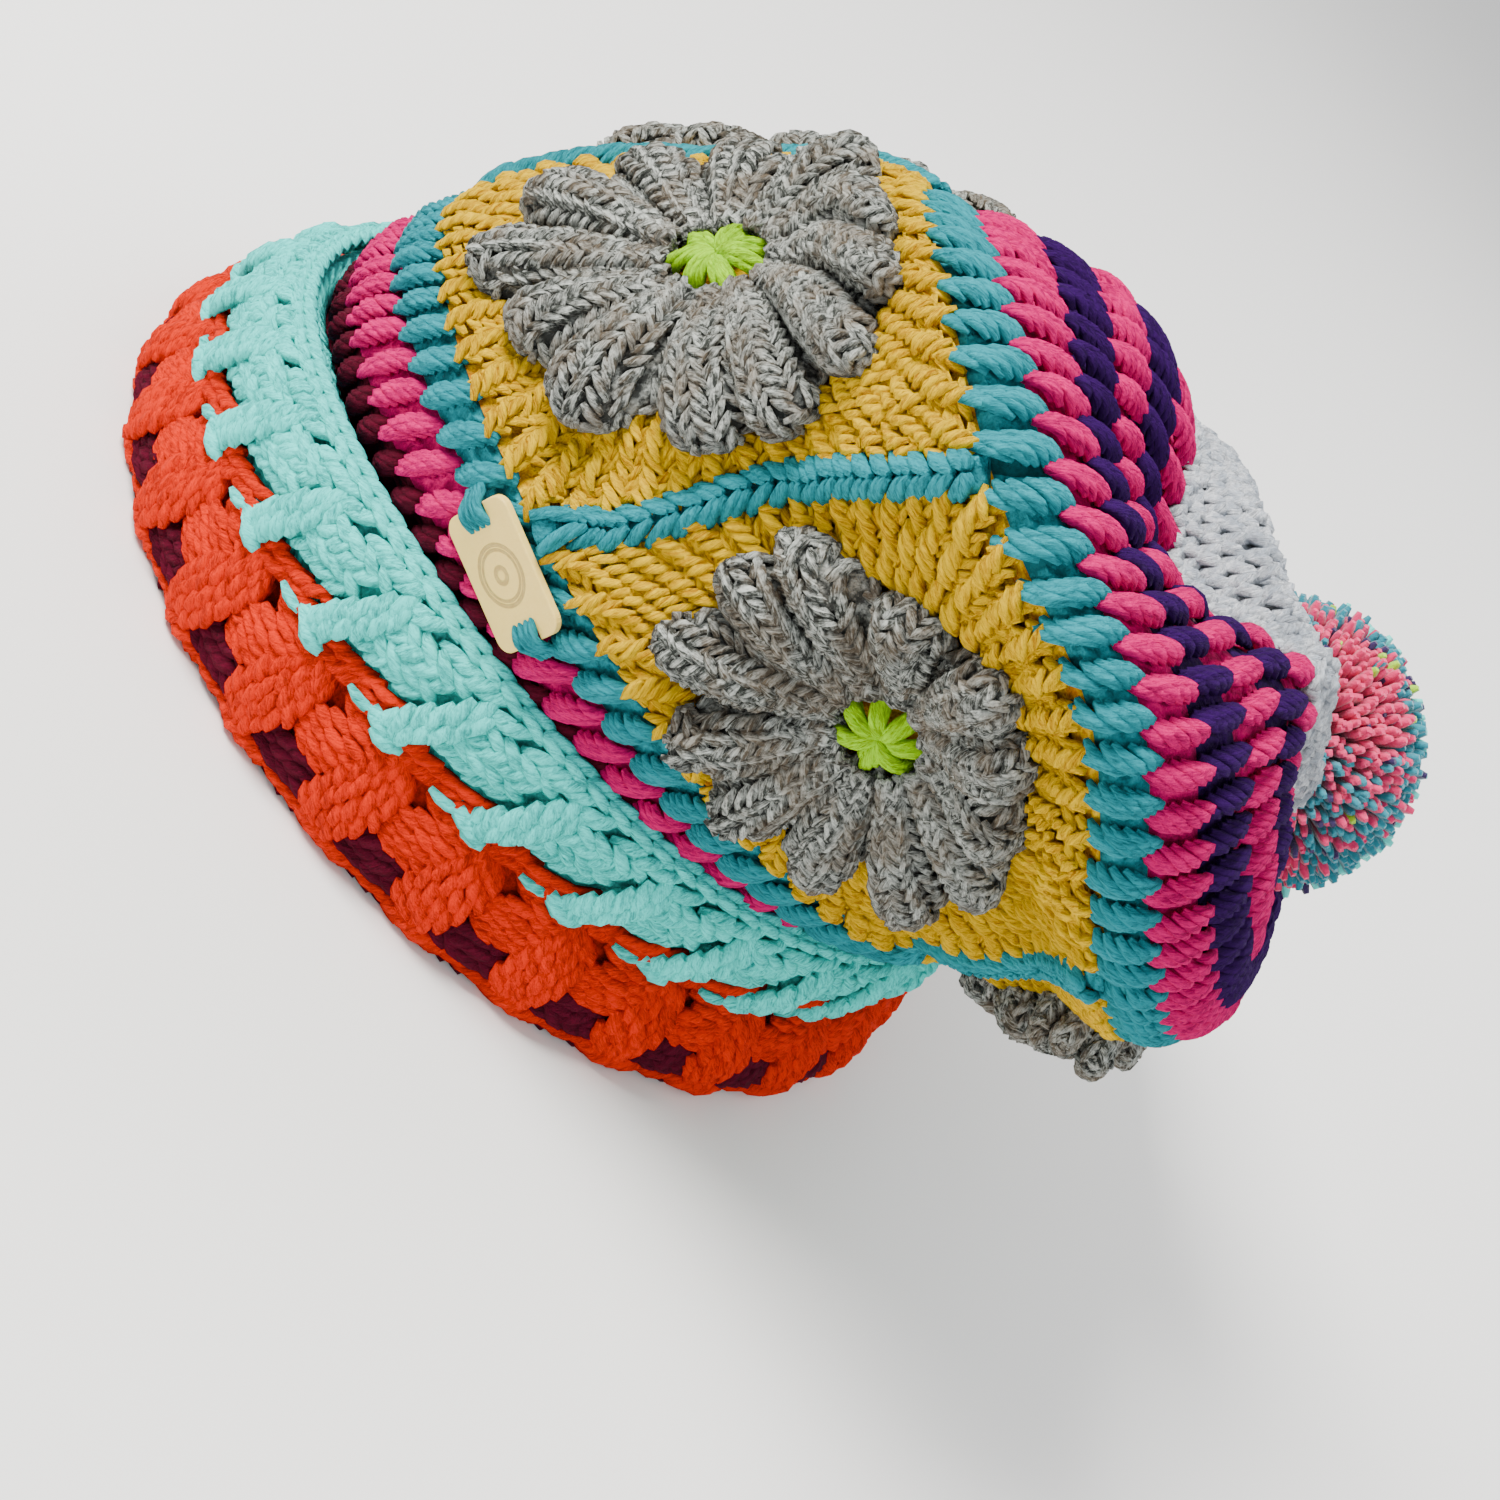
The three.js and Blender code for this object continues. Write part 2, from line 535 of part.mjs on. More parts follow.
// The tag lies flat on the rounds over the cuff and is tied down through a notch in each end.
const tagGroup = new THREE.Group();
const tagAngle = TAG.angle * degrees;
const tagNormal = outward(tagAngle, TAG.row);
const tagRound = fabricPoint(tagAngle + 0.01, TAG.row).sub(fabricPoint(tagAngle - 0.01, TAG.row)).normalize();
const tagUp = new THREE.Vector3().crossVectors(tagNormal, tagRound);
tagGroup.position.copy(fabricPoint(tagAngle, TAG.row)).addScaledVector(tagNormal, 2.6);
tagGroup.quaternion.setFromRotationMatrix(new THREE.Matrix4().makeBasis(tagRound, tagUp, tagNormal));
tagGroup.rotateZ(TAG.tilt * degrees);
hat.add(tagGroup);
const halfLength = TAG.length / 2;
const halfWidth = TAG.width / 2;
const plate = new THREE.Shape();
plate.moveTo(-halfLength, -halfWidth + TAG.corner);
plate.quadraticCurveTo(-halfLength, -halfWidth, -halfLength + TAG.corner, -halfWidth);
plate.lineTo(halfLength - TAG.corner, -halfWidth);
plate.quadraticCurveTo(halfLength, -halfWidth, halfLength, -halfWidth + TAG.corner);
plate.lineTo(halfLength, -TAG.notch / 2);
plate.lineTo(halfLength - TAG.notchDepth, -TAG.notch / 2);
plate.lineTo(halfLength - TAG.notchDepth, TAG.notch / 2);
plate.lineTo(halfLength, TAG.notch / 2);
plate.lineTo(halfLength, halfWidth - TAG.corner);
plate.quadraticCurveTo(halfLength, halfWidth, halfLength - TAG.corner, halfWidth);
plate.lineTo(-halfLength + TAG.corner, halfWidth);
plate.quadraticCurveTo(-halfLength, halfWidth, -halfLength, halfWidth - TAG.corner);
plate.lineTo(-halfLength, TAG.notch / 2);
plate.lineTo(-halfLength + TAG.notchDepth, TAG.notch / 2);
plate.lineTo(-halfLength + TAG.notchDepth, -TAG.notch / 2);
plate.lineTo(-halfLength, -TAG.notch / 2);
plate.closePath();
const plateGeometry = new THREE.ExtrudeGeometry(plate, { depth: TAG.thick, bevelEnabled: false, curveSegments: 4 });
const tag = addPiece("tag", plateGeometry, 0xe6d7a0, 0.6);
tagGroup.add(tag);
for (const end of [-1, 1]) {
  const strapLength = 7.5;
  const strap = new THREE.BoxGeometry(strapLength, TAG.notch - 1, 2);
  const reach = halfLength - TAG.notchDepth + 0.4 + strapLength / 2;
  strap.translate(end * reach, 0, TAG.thick / 2);
  tagGroup.add(addPiece(end < 0 ? "tag_strap_front" : "tag_strap_back", strap, 0x3296a5));
}

hat.position.set(-CENTRE_OF_HAT.x, -CENTRE_OF_HAT.y, 0);

export default hat;
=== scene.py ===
# A crocheted slouch hat with a folded cuff, five flower squares, a striped crown and a bobble.
import math

import bpy
import numpy as np
from mathutils import Matrix, Vector


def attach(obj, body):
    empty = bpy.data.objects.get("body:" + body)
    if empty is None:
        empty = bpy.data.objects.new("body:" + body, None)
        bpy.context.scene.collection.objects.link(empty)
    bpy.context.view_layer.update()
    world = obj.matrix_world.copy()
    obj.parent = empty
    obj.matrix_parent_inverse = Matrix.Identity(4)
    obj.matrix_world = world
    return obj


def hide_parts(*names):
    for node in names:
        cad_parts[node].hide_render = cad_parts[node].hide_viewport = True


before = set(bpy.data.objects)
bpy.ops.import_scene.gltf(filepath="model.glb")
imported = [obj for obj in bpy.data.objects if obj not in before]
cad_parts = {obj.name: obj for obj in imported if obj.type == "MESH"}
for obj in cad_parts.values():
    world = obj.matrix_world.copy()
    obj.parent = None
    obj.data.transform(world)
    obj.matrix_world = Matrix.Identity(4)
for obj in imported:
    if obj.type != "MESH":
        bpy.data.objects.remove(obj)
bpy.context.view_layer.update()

# The hat rests on a pale floor under soft studio light, seen as in the photograph: from its left
# side and a little behind, with the camera rolled to the tilt that the hat has there.
CAMERA_PLACE = Vector((0.51160, 0.21126, 0.32340))
CAMERA_AZIMUTH = math.radians(20.22)
CAMERA_ELEVATION = math.radians(27.93)
CAMERA_ROLL = math.radians(-48.14)
PHOTO_SIZE = 1500
FOCAL_PIXELS = 2851.8


def put_in_scene(name, data):
    made = bpy.data.objects.new(name, data)
    bpy.context.scene.collection.objects.link(made)
    return made


camera_data = bpy.data.cameras.new("camera")
camera_data.sensor_width = 36.0
camera_data.lens = FOCAL_PIXELS * camera_data.sensor_width / PHOTO_SIZE
camera = put_in_scene("camera", camera_data)
back_to_camera = Vector((
    math.cos(CAMERA_ELEVATION) * math.cos(CAMERA_AZIMUTH),
    math.cos(CAMERA_ELEVATION) * math.sin(CAMERA_AZIMUTH),
    math.sin(CAMERA_ELEVATION),
))
level_camera = back_to_camera.to_track_quat("Z", "Y").to_matrix().to_4x4()
rolled = Matrix.Rotation(-CAMERA_ROLL, 4, "Z")
camera.matrix_world = Matrix.Translation(CAMERA_PLACE) @ level_camera @ rolled
bpy.context.scene.camera = camera

world = bpy.data.worlds.new("studio")
world.use_nodes = True
sky = world.node_tree.nodes["Background"].inputs
sky["Color"].default_value = (0.93, 0.96, 1.0, 1)
sky["Strength"].default_value = 0.79
bpy.context.scene.world = world
LIT_PLACE = Vector((0, 0.02, 0.08))


def soft_light(name, place, width, power, colour):
    data = bpy.data.lights.new(name, "AREA")
    data.size = width
    data.energy = power
    data.color = colour
    light = put_in_scene(name, data)
    light.location = place
    light.rotation_euler = (LIT_PLACE - light.location).to_track_quat("-Z", "Y").to_euler()


soft_light("window", (0.55, -0.55, 1.1), 0.55, 43, (1.0, 0.98, 0.95))
soft_light("fill", (0.9, 0.95, 0.55), 0.8, 7, (0.95, 0.98, 1.0))
soft_light("back", (-0.8, 0.3, 0.7), 0.8, 8, (1.0, 1.0, 1.0))

FLOOR_REACH = 6.0
floor_mesh = bpy.data.meshes.new("floor")
floor_corners = [(x * FLOOR_REACH, y * FLOOR_REACH, 0) for x, y in ((-1, -1), (1, -1), (1, 1), (-1, 1))]
floor_mesh.from_pydata(floor_corners, [], [(0, 1, 2, 3)])
floor = put_in_scene("floor", floor_mesh)
floor_finish = bpy.data.materials.new("floor_paint")
floor_finish.use_nodes = True
floor_shader = floor_finish.node_tree.nodes["Principled BSDF"]
floor_shader.inputs["Base Color"].default_value = (0.9, 0.885, 0.86, 1)
floor_shader.inputs["Roughness"].default_value = 0.8
floor_mesh.materials.append(floor_finish)

# The cloth of the hat is one crocheted tube. Every round is an oval section, tilted and shifted
# as the hat slouches, and the stitches are placed on the smooth surface through these sections.
MM = 0.001
CENTRE_OF_HAT = np.array([-8.9, 23.3, 0.0])
MOTIFS = 5
WALL = 5.0
SEAM_LOW = 6.0
SEAM_HIGH = -10.5
VALLEY_WIDTH = 26.0
LOBE_ANGLE = 22.0
LOBE_WIDTH = 17.0
FAR_SIDE_ANGLE = 165.0
FAR_SIDE_FROM = 40.0
FAR_SIDE_TO = 110.0
SECTION_COLUMNS = (
    "name", "side", "back", "height", "lean_back", "lean_right", "left", "right", "front", "rear",
    "rise", "valley", "lobe",
)
SECTION_ROWS = (
    ("foot", 0, 0, 0, 0, 0, 92, 92, 101, 101, 0, 0, 0),
    ("inside_cuff", 0, 2, 40, 0, 0, 90, 90, 86, 92, 6, 0, 0),
    ("burgundy", 0, 6, 53, 3, 1, 96, 94, 88, 89, 7, 0, 0),
    ("pink", 0, 12, 62, 5, 2, 97, 95, 91, 91, 8, 0, 0),
    ("teal", 0, 18, 71, 6, 3, 99, 97, 92, 92, 7, 0, 0),
    ("motif_low", -2.5, 31.5, 82, 10, 4, 93, 108, 96, 82.5, 4, 0, 0),
    ("motif_middle", -1.5, 47.5, 97, 16.5, 11, 89.5, 122, 92.5, 79.5, 8, 0, 0),
    ("motif_high", 3, 66, 114, 20.5, 16.5, 89.5, 129.5, 93, 73.5, 11, 17, 0),
    ("rim", 23, 87.5, 125.5, 22, 19, 88.5, 136.5, 92, 66, 10, 5, 3),
)
CROWN_COLUMNS = (
    "name", "side", "back", "raise", "far_raise", "left", "right", "front", "rear", "valley", "lobe",
)
CROWN_ROWS = (
    ("teal_upper", 0, 2, 8, 8, 87, 130, 87, 67, 3, 3.5),
    ("pink_1", -1, 4, 16.5, 15, 80, 120, 82, 62, 6, 3),
    ("purple_1", -4, 5, 23, 18, 71, 107, 75, 54, 10, 3),
    ("pink_2", -8, 5, 28, 17, 65, 92, 68, 46, 13.5, 4),
    ("purple_2", -12, 6, 30.5, 14, 56, 76, 58, 39, 16, 6),
    ("pink_3", -17, 7, 30, 9, 48, 60, 48, 32, 13, 8),
    ("grey", -26, 10, 35, 3, 40, 41, 38, 25, 1, 3),
    ("bowl", -38, 16, 17, -3, 24, 21, 22, 15, 0, 0),
    ("tip", -50, 22, -6, -6, 0, 0, 0, 0, 0, 0),
)
sections = [dict(zip(SECTION_COLUMNS, row)) for row in SECTION_ROWS]
crown = [dict(zip(CROWN_COLUMNS, row)) for row in CROWN_ROWS]
ROW = {section["name"]: index for index, section in enumerate(sections + crown)}
RIM = ROW["rim"]
LAST = ROW["tip"]
POMPOM_SIDE = -50.0
POMPOM_BACK = 22.0
POMPOM_RAISE = 25.5
POMPOM_RADIUS = 30.0
SEAT_PLAY = 2.5


def smooth(value, low, high):
    share = np.clip((value - low) / (high - low), 0, 1)
    return share * share * (3 - 2 * share)


def unit(vectors):
    return vectors / (np.linalg.norm(vectors, axis=-1, keepdims=True) + 1e-9)


def spread_over(*values):
    """The values as arrays of one shape."""
    return np.broadcast_arrays(*(np.asarray(value, float) for value in values))


def turn_between(angle, other):
    return (angle - other + math.pi) % math.tau - math.pi


def seam_angle(row):
    share = np.clip((row - ROW["teal"]) / (RIM - ROW["teal"]), 0, 1)
    return np.radians(SEAM_LOW + (SEAM_HIGH - SEAM_LOW) * share)


def tilted_axes(section):
    back = math.radians(section["lean_back"])
    right = math.radians(section["lean_right"])
    up = np.array([-math.sin(right), math.sin(back) * math.cos(right), math.cos(back) * math.cos(right)])
    across = unit(np.array([1.0, 0, 0]) - up * up[0])
    return up, across, np.cross(up, across)


def section_place(section):
    return np.array([section["side"], section["back"], section["height"]], float)


def section_points(index, angle):
    if index > LAST:
        return section_points(2 * LAST - index, angle + math.pi)
    if index < 0:
        return 2 * section_points(0, angle) - section_points(-index, angle)
    base = sections[min(index, RIM)]
    ring = crown[index - RIM - 1] if index > RIM else base
    up, across, along = tilted_axes(base)
    points = np.repeat(section_place(base)[None, :], len(angle), 0)
    if index > RIM:
        away = np.degrees(np.abs(turn_between(angle, math.radians(FAR_SIDE_ANGLE))))
        near = smooth(away, FAR_SIDE_FROM, FAR_SIDE_TO)
        lift = ring["far_raise"] + (ring["raise"] - ring["far_raise"]) * near
        points += lift[:, None] * up + ring["side"] * across + ring["back"] * along
    cosine = np.cos(angle)
    sine = np.sin(angle)
    points += (cosine * np.where(cosine > 0, ring["left"], ring["right"]))[:, None] * across
    points += (sine * np.where(sine > 0, ring["rear"], ring["front"]))[:, None] * along
    points[:, 2] += ring["left"] / base["left"] * base["rise"] * np.cos(2 * angle)
    from_valley = np.degrees(turn_between(angle, seam_angle(min(index, RIM)))) / VALLEY_WIDTH
    from_lobe = (np.degrees(turn_between(angle, 0)) - LOBE_ANGLE) / LOBE_WIDTH
    lift = ring["lobe"] * np.exp(-from_lobe**2) - ring["valley"] * np.exp(-from_valley**2)
    return points + lift[:, None] * up


ANGLE_STEPS = 720
grid_angles = np.arange(ANGLE_STEPS) * math.tau / ANGLE_STEPS
section_grid = np.stack([section_points(index, grid_angles) for index in range(-1, LAST + 3)])
rim_place = section_place(sections[RIM])
rim_up, rim_across, rim_along = tilted_axes(sections[RIM])
bobble_centre = rim_place + POMPOM_SIDE * rim_across + POMPOM_BACK * rim_along + POMPOM_RAISE * rim_up


def cloth_point(angle, row):
    """Points of the cloth's outer face in millimetres, for arrays of angles and rows."""
    angle, row = spread_over(angle, row)
    step = (angle / math.tau * ANGLE_STEPS) % ANGLE_STEPS
    low = np.floor(step).astype(int) % ANGLE_STEPS
    share = (step - np.floor(step))[..., None]
    index = np.clip(np.floor(row).astype(int), 0, LAST - 1)
    t = (row - index)[..., None]
    weights = (
        0.5 * (-t + 2 * t**2 - t**3),
        0.5 * (2 - 5 * t**2 + 3 * t**3),
        0.5 * (t + 4 * t**2 - 3 * t**3),
        0.5 * (-(t**2) + t**3),
    )
    point = 0
    for k, weight in enumerate(weights):
        ring = section_grid[index + k, low] * (1 - share)
        ring = ring + section_grid[index + k, (low + 1) % ANGLE_STEPS] * share
        point = point + weight * ring
    offset = point - rim_place
    away2 = (offset @ rim_across - POMPOM_SIDE) ** 2 + (offset @ rim_along - POMPOM_BACK) ** 2
    seat_radius = POMPOM_RADIUS + SEAT_PLAY
    seat = POMPOM_RAISE - np.sqrt(np.maximum(seat_radius**2 - away2, 0))
    pressed = (away2 < seat_radius**2) & (row > RIM + 1)
    depth = np.where(pressed, np.maximum(offset @ rim_up - seat, 0), 0)
    return point - depth[..., None] * rim_up


def cloth_axes(angle, row):
    """Unit directions round the hat, up the hat and out of the cloth."""
    row = np.minimum(row, LAST - 0.02)
    low = np.maximum(row - 0.01, 0)
    high = np.minimum(row + 0.01, LAST)
    round_way = cloth_point(angle + 0.01, row) - cloth_point(angle - 0.01, row)
    up_way = cloth_point(angle, high) - cloth_point(angle, low)
    out = unit(np.cross(round_way, up_way))
    round_way = unit(round_way)
    return round_way, np.cross(out, round_way), out


def skin_point(angle, row, height):
    angle, row, height = spread_over(angle, row, height)
    return cloth_point(angle, row) + cloth_axes(angle, row)[2] * height[..., None]


# A motif is a square between two seams. Its along and up coordinates run from 0 to 1, and up
# follows the length of each line of stitches, so the square's stitches stay evenly spaced. Past the
# top and the foot of the square it goes on straight into the rows over and under it.
LINE_COLUMNS = 360
LINE_STEPS = 48
ROWS_OVER = 4
ROWS_UNDER = 10
line_rows = np.linspace(ROW["teal"], RIM, LINE_STEPS + 1)
line_angles = np.arange(LINE_COLUMNS) * math.tau / LINE_COLUMNS
line_points = cloth_point(line_angles[:, None] + seam_angle(line_rows)[None, :], line_rows[None, :])
line_lengths = np.cumsum(np.linalg.norm(np.diff(line_points, axis=1), axis=-1), axis=1)
line_lengths = np.concatenate([np.zeros((LINE_COLUMNS, 1)), line_lengths], axis=1)
even_ups = np.linspace(0, 1, LINE_STEPS + 1)
row_of_up = np.stack([
    np.interp(even_ups * lengths[-1], lengths, line_rows) for lengths in line_lengths
])


def motif_point(motif, along, up, height):
    """Points of a motif in millimetres: along and up over its square, height above the cloth."""
    along, up, height = spread_over(along, up, height)
    turn_share = (motif + along) / MOTIFS
    column = (turn_share % 1) * LINE_COLUMNS
    left = np.floor(column).astype(int) % LINE_COLUMNS
    f = column - np.floor(column)
    step = np.clip(up, 0, 1) * LINE_STEPS
    below = np.minimum(np.floor(step).astype(int), LINE_STEPS - 1)
    g = step - below
    right = (left + 1) % LINE_COLUMNS
    at_left = row_of_up[left, below] * (1 - g) + row_of_up[left, below + 1] * g
    at_right = row_of_up[right, below] * (1 - g) + row_of_up[right, below + 1] * g
    row = at_left * (1 - f) + at_right * f
    row = row + np.maximum(up - 1, 0) * ROWS_OVER + np.minimum(up, 0) * ROWS_UNDER
    return skin_point(seam_angle(row) + turn_share * math.tau, row, height)


# Yarn is drawn as round strands that follow the stitches. A piece is made as loose chains of
# edges, one for each strand, with the fabric's ground as faces, and this tree of nodes gives the
# chains their thickness. A strand carries its length and the turn round it for the twisted plies.
STRAND_SIDES = 5
FINE_SIDES = 6
DENSE_SIDES = 4
GROUND_ROOM = 1.0


class Term:
    """A socket's value, for sums written as they are on paper."""

    def __init__(self, owner, socket):
        self.owner, self.socket = owner, socket

    def __add__(self, other):
        return self.owner.math("ADD", self, other)

    def __sub__(self, other):
        return self.owner.math("SUBTRACT", self, other)

    def __mul__(self, other):
        return self.owner.math("MULTIPLY", self, other)

    def __rsub__(self, other):
        return self.owner.math("SUBTRACT", other, self)

    __radd__ = __add__
    __rmul__ = __mul__

    def spread(self, low, high, to_low=0.0, to_high=1.0):
        """Lays the range from low to high over another one, cut off at its ends."""
        return self.owner.node("ShaderNodeMapRange", _0=self, _1=low, _2=high, _3=to_low, _4=to_high)

    def output(self, index):
        return Term(self.owner, self.socket.node.outputs[index])


class Tree:
    """A tree of nodes. Sockets are filled by name, or by place as _0, _1 and so on."""

    def __init__(self, tree):
        self.tree = tree

    def node(self, kind, settings=None, out=0, **sockets):
        made = self.tree.nodes.new(kind)
        for key, value in (settings or {}).items():
            if key == "stops":
                ramp = made.color_ramp
                while len(ramp.elements) < len(value):
                    ramp.elements.new(0.5)
                for element, (place, colour) in zip(ramp.elements, value):
                    element.position = place
                    element.color = colour
                ramp.interpolation = "CONSTANT"
            else:
                setattr(made, key, value)
        self.fill(made, **sockets)
        return Term(self, made.outputs[out]) if made.outputs else None

    def fill(self, node, **sockets):
        for key, value in sockets.items():
            socket = node.inputs[int(key[1:])] if key[0] == "_" else node.inputs[key.replace("_", " ")]
            if isinstance(value, Term):
                self.tree.links.new(value.socket, socket)
            else:
                socket.default_value = value

    def math(self, operation, *values):
        inputs = {f"_{index}": value for index, value in enumerate(values)}
        return self.node("ShaderNodeMath", {"operation": operation}, **inputs)


def yarn_tree():
    group_tree = bpy.data.node_groups.new("yarn_strands", "GeometryNodeTree")
    for name, way, kind in (("Geometry", "INPUT", "Geometry"), ("Sides", "INPUT", "Int"),
                            ("Yarn", "INPUT", "Material"), ("Geometry", "OUTPUT", "Geometry")):
        group_tree.interface.new_socket(name, in_out=way, socket_type="NodeSocket" + kind)
    tree = Tree(group_tree)
    group = tree.node("NodeGroupInput")
    faces_at_edge = tree.node("GeometryNodeInputMeshEdgeNeighbors")
    loose = tree.node("FunctionNodeCompare", {"data_type": "INT", "operation": "EQUAL"},
                      _2=faces_at_edge, _3=0)
    chains = tree.node("GeometryNodeMeshToCurve", Mesh=group, Selection=loose)
    thick = tree.node("GeometryNodeInputNamedAttribute", Name="thick")
    sized = tree.node("GeometryNodeSetCurveRadius", Curve=chains, Radius=thick)
    length = tree.node("GeometryNodeSplineParameter", out="Length")
    measured = tree.node("GeometryNodeStoreNamedAttribute", Geometry=sized, Name="yarn_length",
                         Value=length)
    circle = tree.node("GeometryNodeCurvePrimitiveCircle", Resolution=group.output(1), Radius=1.0)
    around = tree.node("GeometryNodeInputPosition")
    turned = tree.node("GeometryNodeStoreNamedAttribute", {"data_type": "FLOAT_VECTOR"},
                       Geometry=circle, Name="yarn_turn", Value=around)
    tubes = tree.node("GeometryNodeCurveToMesh", Curve=measured, Profile_Curve=turned, Scale=thick,
                      Fill_Caps=True)
    ground = tree.node("GeometryNodeSeparateGeometry", {"domain": "FACE"}, Geometry=group, Selection=True)
    joined = tree.node("GeometryNodeJoinGeometry", _0=ground)
    tree.fill(joined.socket.node, _0=tubes)
    smoothed = tree.node("GeometryNodeSetShadeSmooth", Geometry=joined)
    finished = tree.node("GeometryNodeSetMaterial", Geometry=smoothed, Material=group.output(2))
    real = tree.node("GeometryNodeRealizeInstances", Geometry=finished)
    tree.node("NodeGroupOutput", _0=real)
    return group_tree


yarn_nodes = yarn_tree()


def mark(mesh, name, values):
    """Stores a number or a vector at each point of a mesh."""
    kind, field = ("FLOAT", "value") if values.ndim == 1 else ("FLOAT_VECTOR", "vector")
    layer = mesh.attributes.new(name, kind, "POINT")
    layer.data.foreach_set(field, values.astype(np.float32).ravel())


def set_on_hat(name, mesh, node, slot):
    """Puts a finished piece on the hat, in place of a node."""
    piece = put_in_scene(name, mesh)
    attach(piece, "root")
    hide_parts(node)


class Yarn:
    """Collects the strands and the ground of one piece, in millimetres in the part's own frame."""

    def __init__(self):
        self.points, self.edges, self.faces, self.thick, self.tone, self.weave = [], [], [], [], [], []
        self.count = 0

    def strands(self, points, thick, tone=0.5):
        """points is an array of strands by steps by 3; thick and tone are spread over it. The tone varies
        the yarn's brightness, and a low one paints shade.
        """
        points = np.asarray(points, float)
        points = points.reshape(-1, *points.shape[-2:])
        number, steps = points.shape[:2]
        index = self.count + np.arange(number * steps).reshape(number, steps)
        self.edges.append(np.stack([index[:, :-1].ravel(), index[:, 1:].ravel()], 1))
        self._add(points, thick, tone, 0.0)

    def ground(self, grid, closed=False, tone=0.0):
        """A sheet of faces from a grid of rows by columns by 3, closed round its columns or not. Its tone
        of 0 by default paints it dark, as painted shade under the strands.
        """
        rows, columns = grid.shape[:2]
        index = self.count + np.arange(rows * columns).reshape(rows, columns)
        if closed:
            index = np.concatenate([index, index[:, :1]], 1)
        quads = np.stack([index[:-1, :-1], index[:-1, 1:], index[1:, 1:], index[1:, :-1]], -1)
        self.faces.append(quads.reshape(-1, 4))
        round_way = np.linalg.norm(np.diff(grid, axis=1, append=grid[:, -1:]), axis=-1).mean()
        up_way = np.linalg.norm(np.diff(grid, axis=0, append=grid[-1:]), axis=-1).mean()
        weave = np.ones((rows, columns, 3))
        weave[..., 0] = np.arange(columns)[None, :] * round_way
        weave[..., 1] = np.arange(rows)[:, None] * up_way
        self._add(grid, GROUND_ROOM, tone, weave)

    def _add(self, points, thick, tone, weave):
        self.points.append(points.reshape(-1, 3))
        self.thick.append(np.broadcast_to(thick, points.shape[:-1]).ravel())
        self.tone.append(np.broadcast_to(tone, points.shape[:-1]).ravel())
        self.weave.append(np.broadcast_to(weave, points.shape).reshape(-1, 3))
        self.count += len(self.points[-1])

    def make(self, material, node, slot, sides=STRAND_SIDES, name=None):
        """Makes the piece. Each point stays its own thickness over the floor."""
        name = name or node + "_crochet"
        mesh = bpy.data.meshes.new(name)
        points = np.concatenate(self.points) - CENTRE_OF_HAT
        points[:, 2] = np.maximum(points[:, 2], np.concatenate(self.thick))
        points *= MM
        edges = np.concatenate(self.edges).tolist()
        faces = np.concatenate(self.faces).tolist() if self.faces else []
        mesh.from_pydata(points.tolist(), edges, faces)
        mark(mesh, "thick", np.concatenate(self.thick) * MM)
        mark(mesh, "tone", np.concatenate(self.tone))
        mark(mesh, "weave", np.concatenate(self.weave))
        draft = put_in_scene(name + "_draft", mesh)
        modifier = draft.modifiers.new("yarn", "NODES")
        modifier.node_group = yarn_nodes
        inputs = [item for item in yarn_nodes.interface.items_tree if item.in_out == "INPUT"]
        modifier[inputs[1].identifier] = sides
        modifier[inputs[2].identifier] = material
        draft.update_tag()
        depsgraph = bpy.context.evaluated_depsgraph_get()
        result = bpy.data.meshes.new_from_object(draft.evaluated_get(depsgraph))
        result.name = name
        bpy.data.objects.remove(draft)
        bpy.data.meshes.remove(mesh)
        set_on_hat(name, result, node, slot)


def shell(yarn, outer, inner, closed, tone=0.12):
    """Ground with an outer and an inner face and its rims closed, grids of rows by columns by 3. Its low
    tone by default paints shade on it, where it lies under and between the strands.
    """
    loop = np.concatenate([outer, inner[::-1], outer[:1]], 0)
    yarn.ground(loop, closed=closed, tone=tone)
    if not closed:
        yarn.ground(np.stack([outer[:, 0], inner[:, 0]], 1), tone=tone)
        yarn.ground(np.stack([inner[:, -1], outer[:, -1]], 1), tone=tone)


# All the yarn is acrylic, spun of three plies, soft and slightly hairy. Its finish twists the plies along
# the strands, paints shade into the hollows between them and gives the ground a knitted relief, with
# painted shade in its grooves.
class Finish(Tree):
    """The tree of one material, which ends in its Principled shader."""

    def __init__(self, name):
        self.material = bpy.data.materials.new(name)
        self.material.use_nodes = True
        self.shader = self.material.node_tree.nodes["Principled BSDF"]
        super().__init__(self.material.node_tree)

    def stored(self, name, out=2):
        """A number stored on the mesh, or with out=1 a vector."""
        return self.node("ShaderNodeAttribute", {"attribute_name": name}, out=out)

    def noise(self, vector, scale, detail, roughness):
        return self.node("ShaderNodeTexNoise", Vector=vector, Scale=scale, Detail=detail,
                         Roughness=roughness)

    def mix(self, share, first, second):
        return self.node("ShaderNodeMix", {"data_type": "RGBA"}, out=2, _0=share, _6=first, _7=second)


def linear(colour, share=1.0):
    """An sRGB colour of 0 to 255 as the linear colour that the shader reads, times a share."""
    levels = [level / 255 for level in colour]
    values = [v / 12.92 if v <= 0.04045 else ((v + 0.055) / 1.055) ** 2.4 for v in levels]
    return (*(value * share for value in values), 1)


PLY_PITCH = 4.2
PLIES = 3
ROW_PITCH = 5.5
RIB_PITCH = 4.6


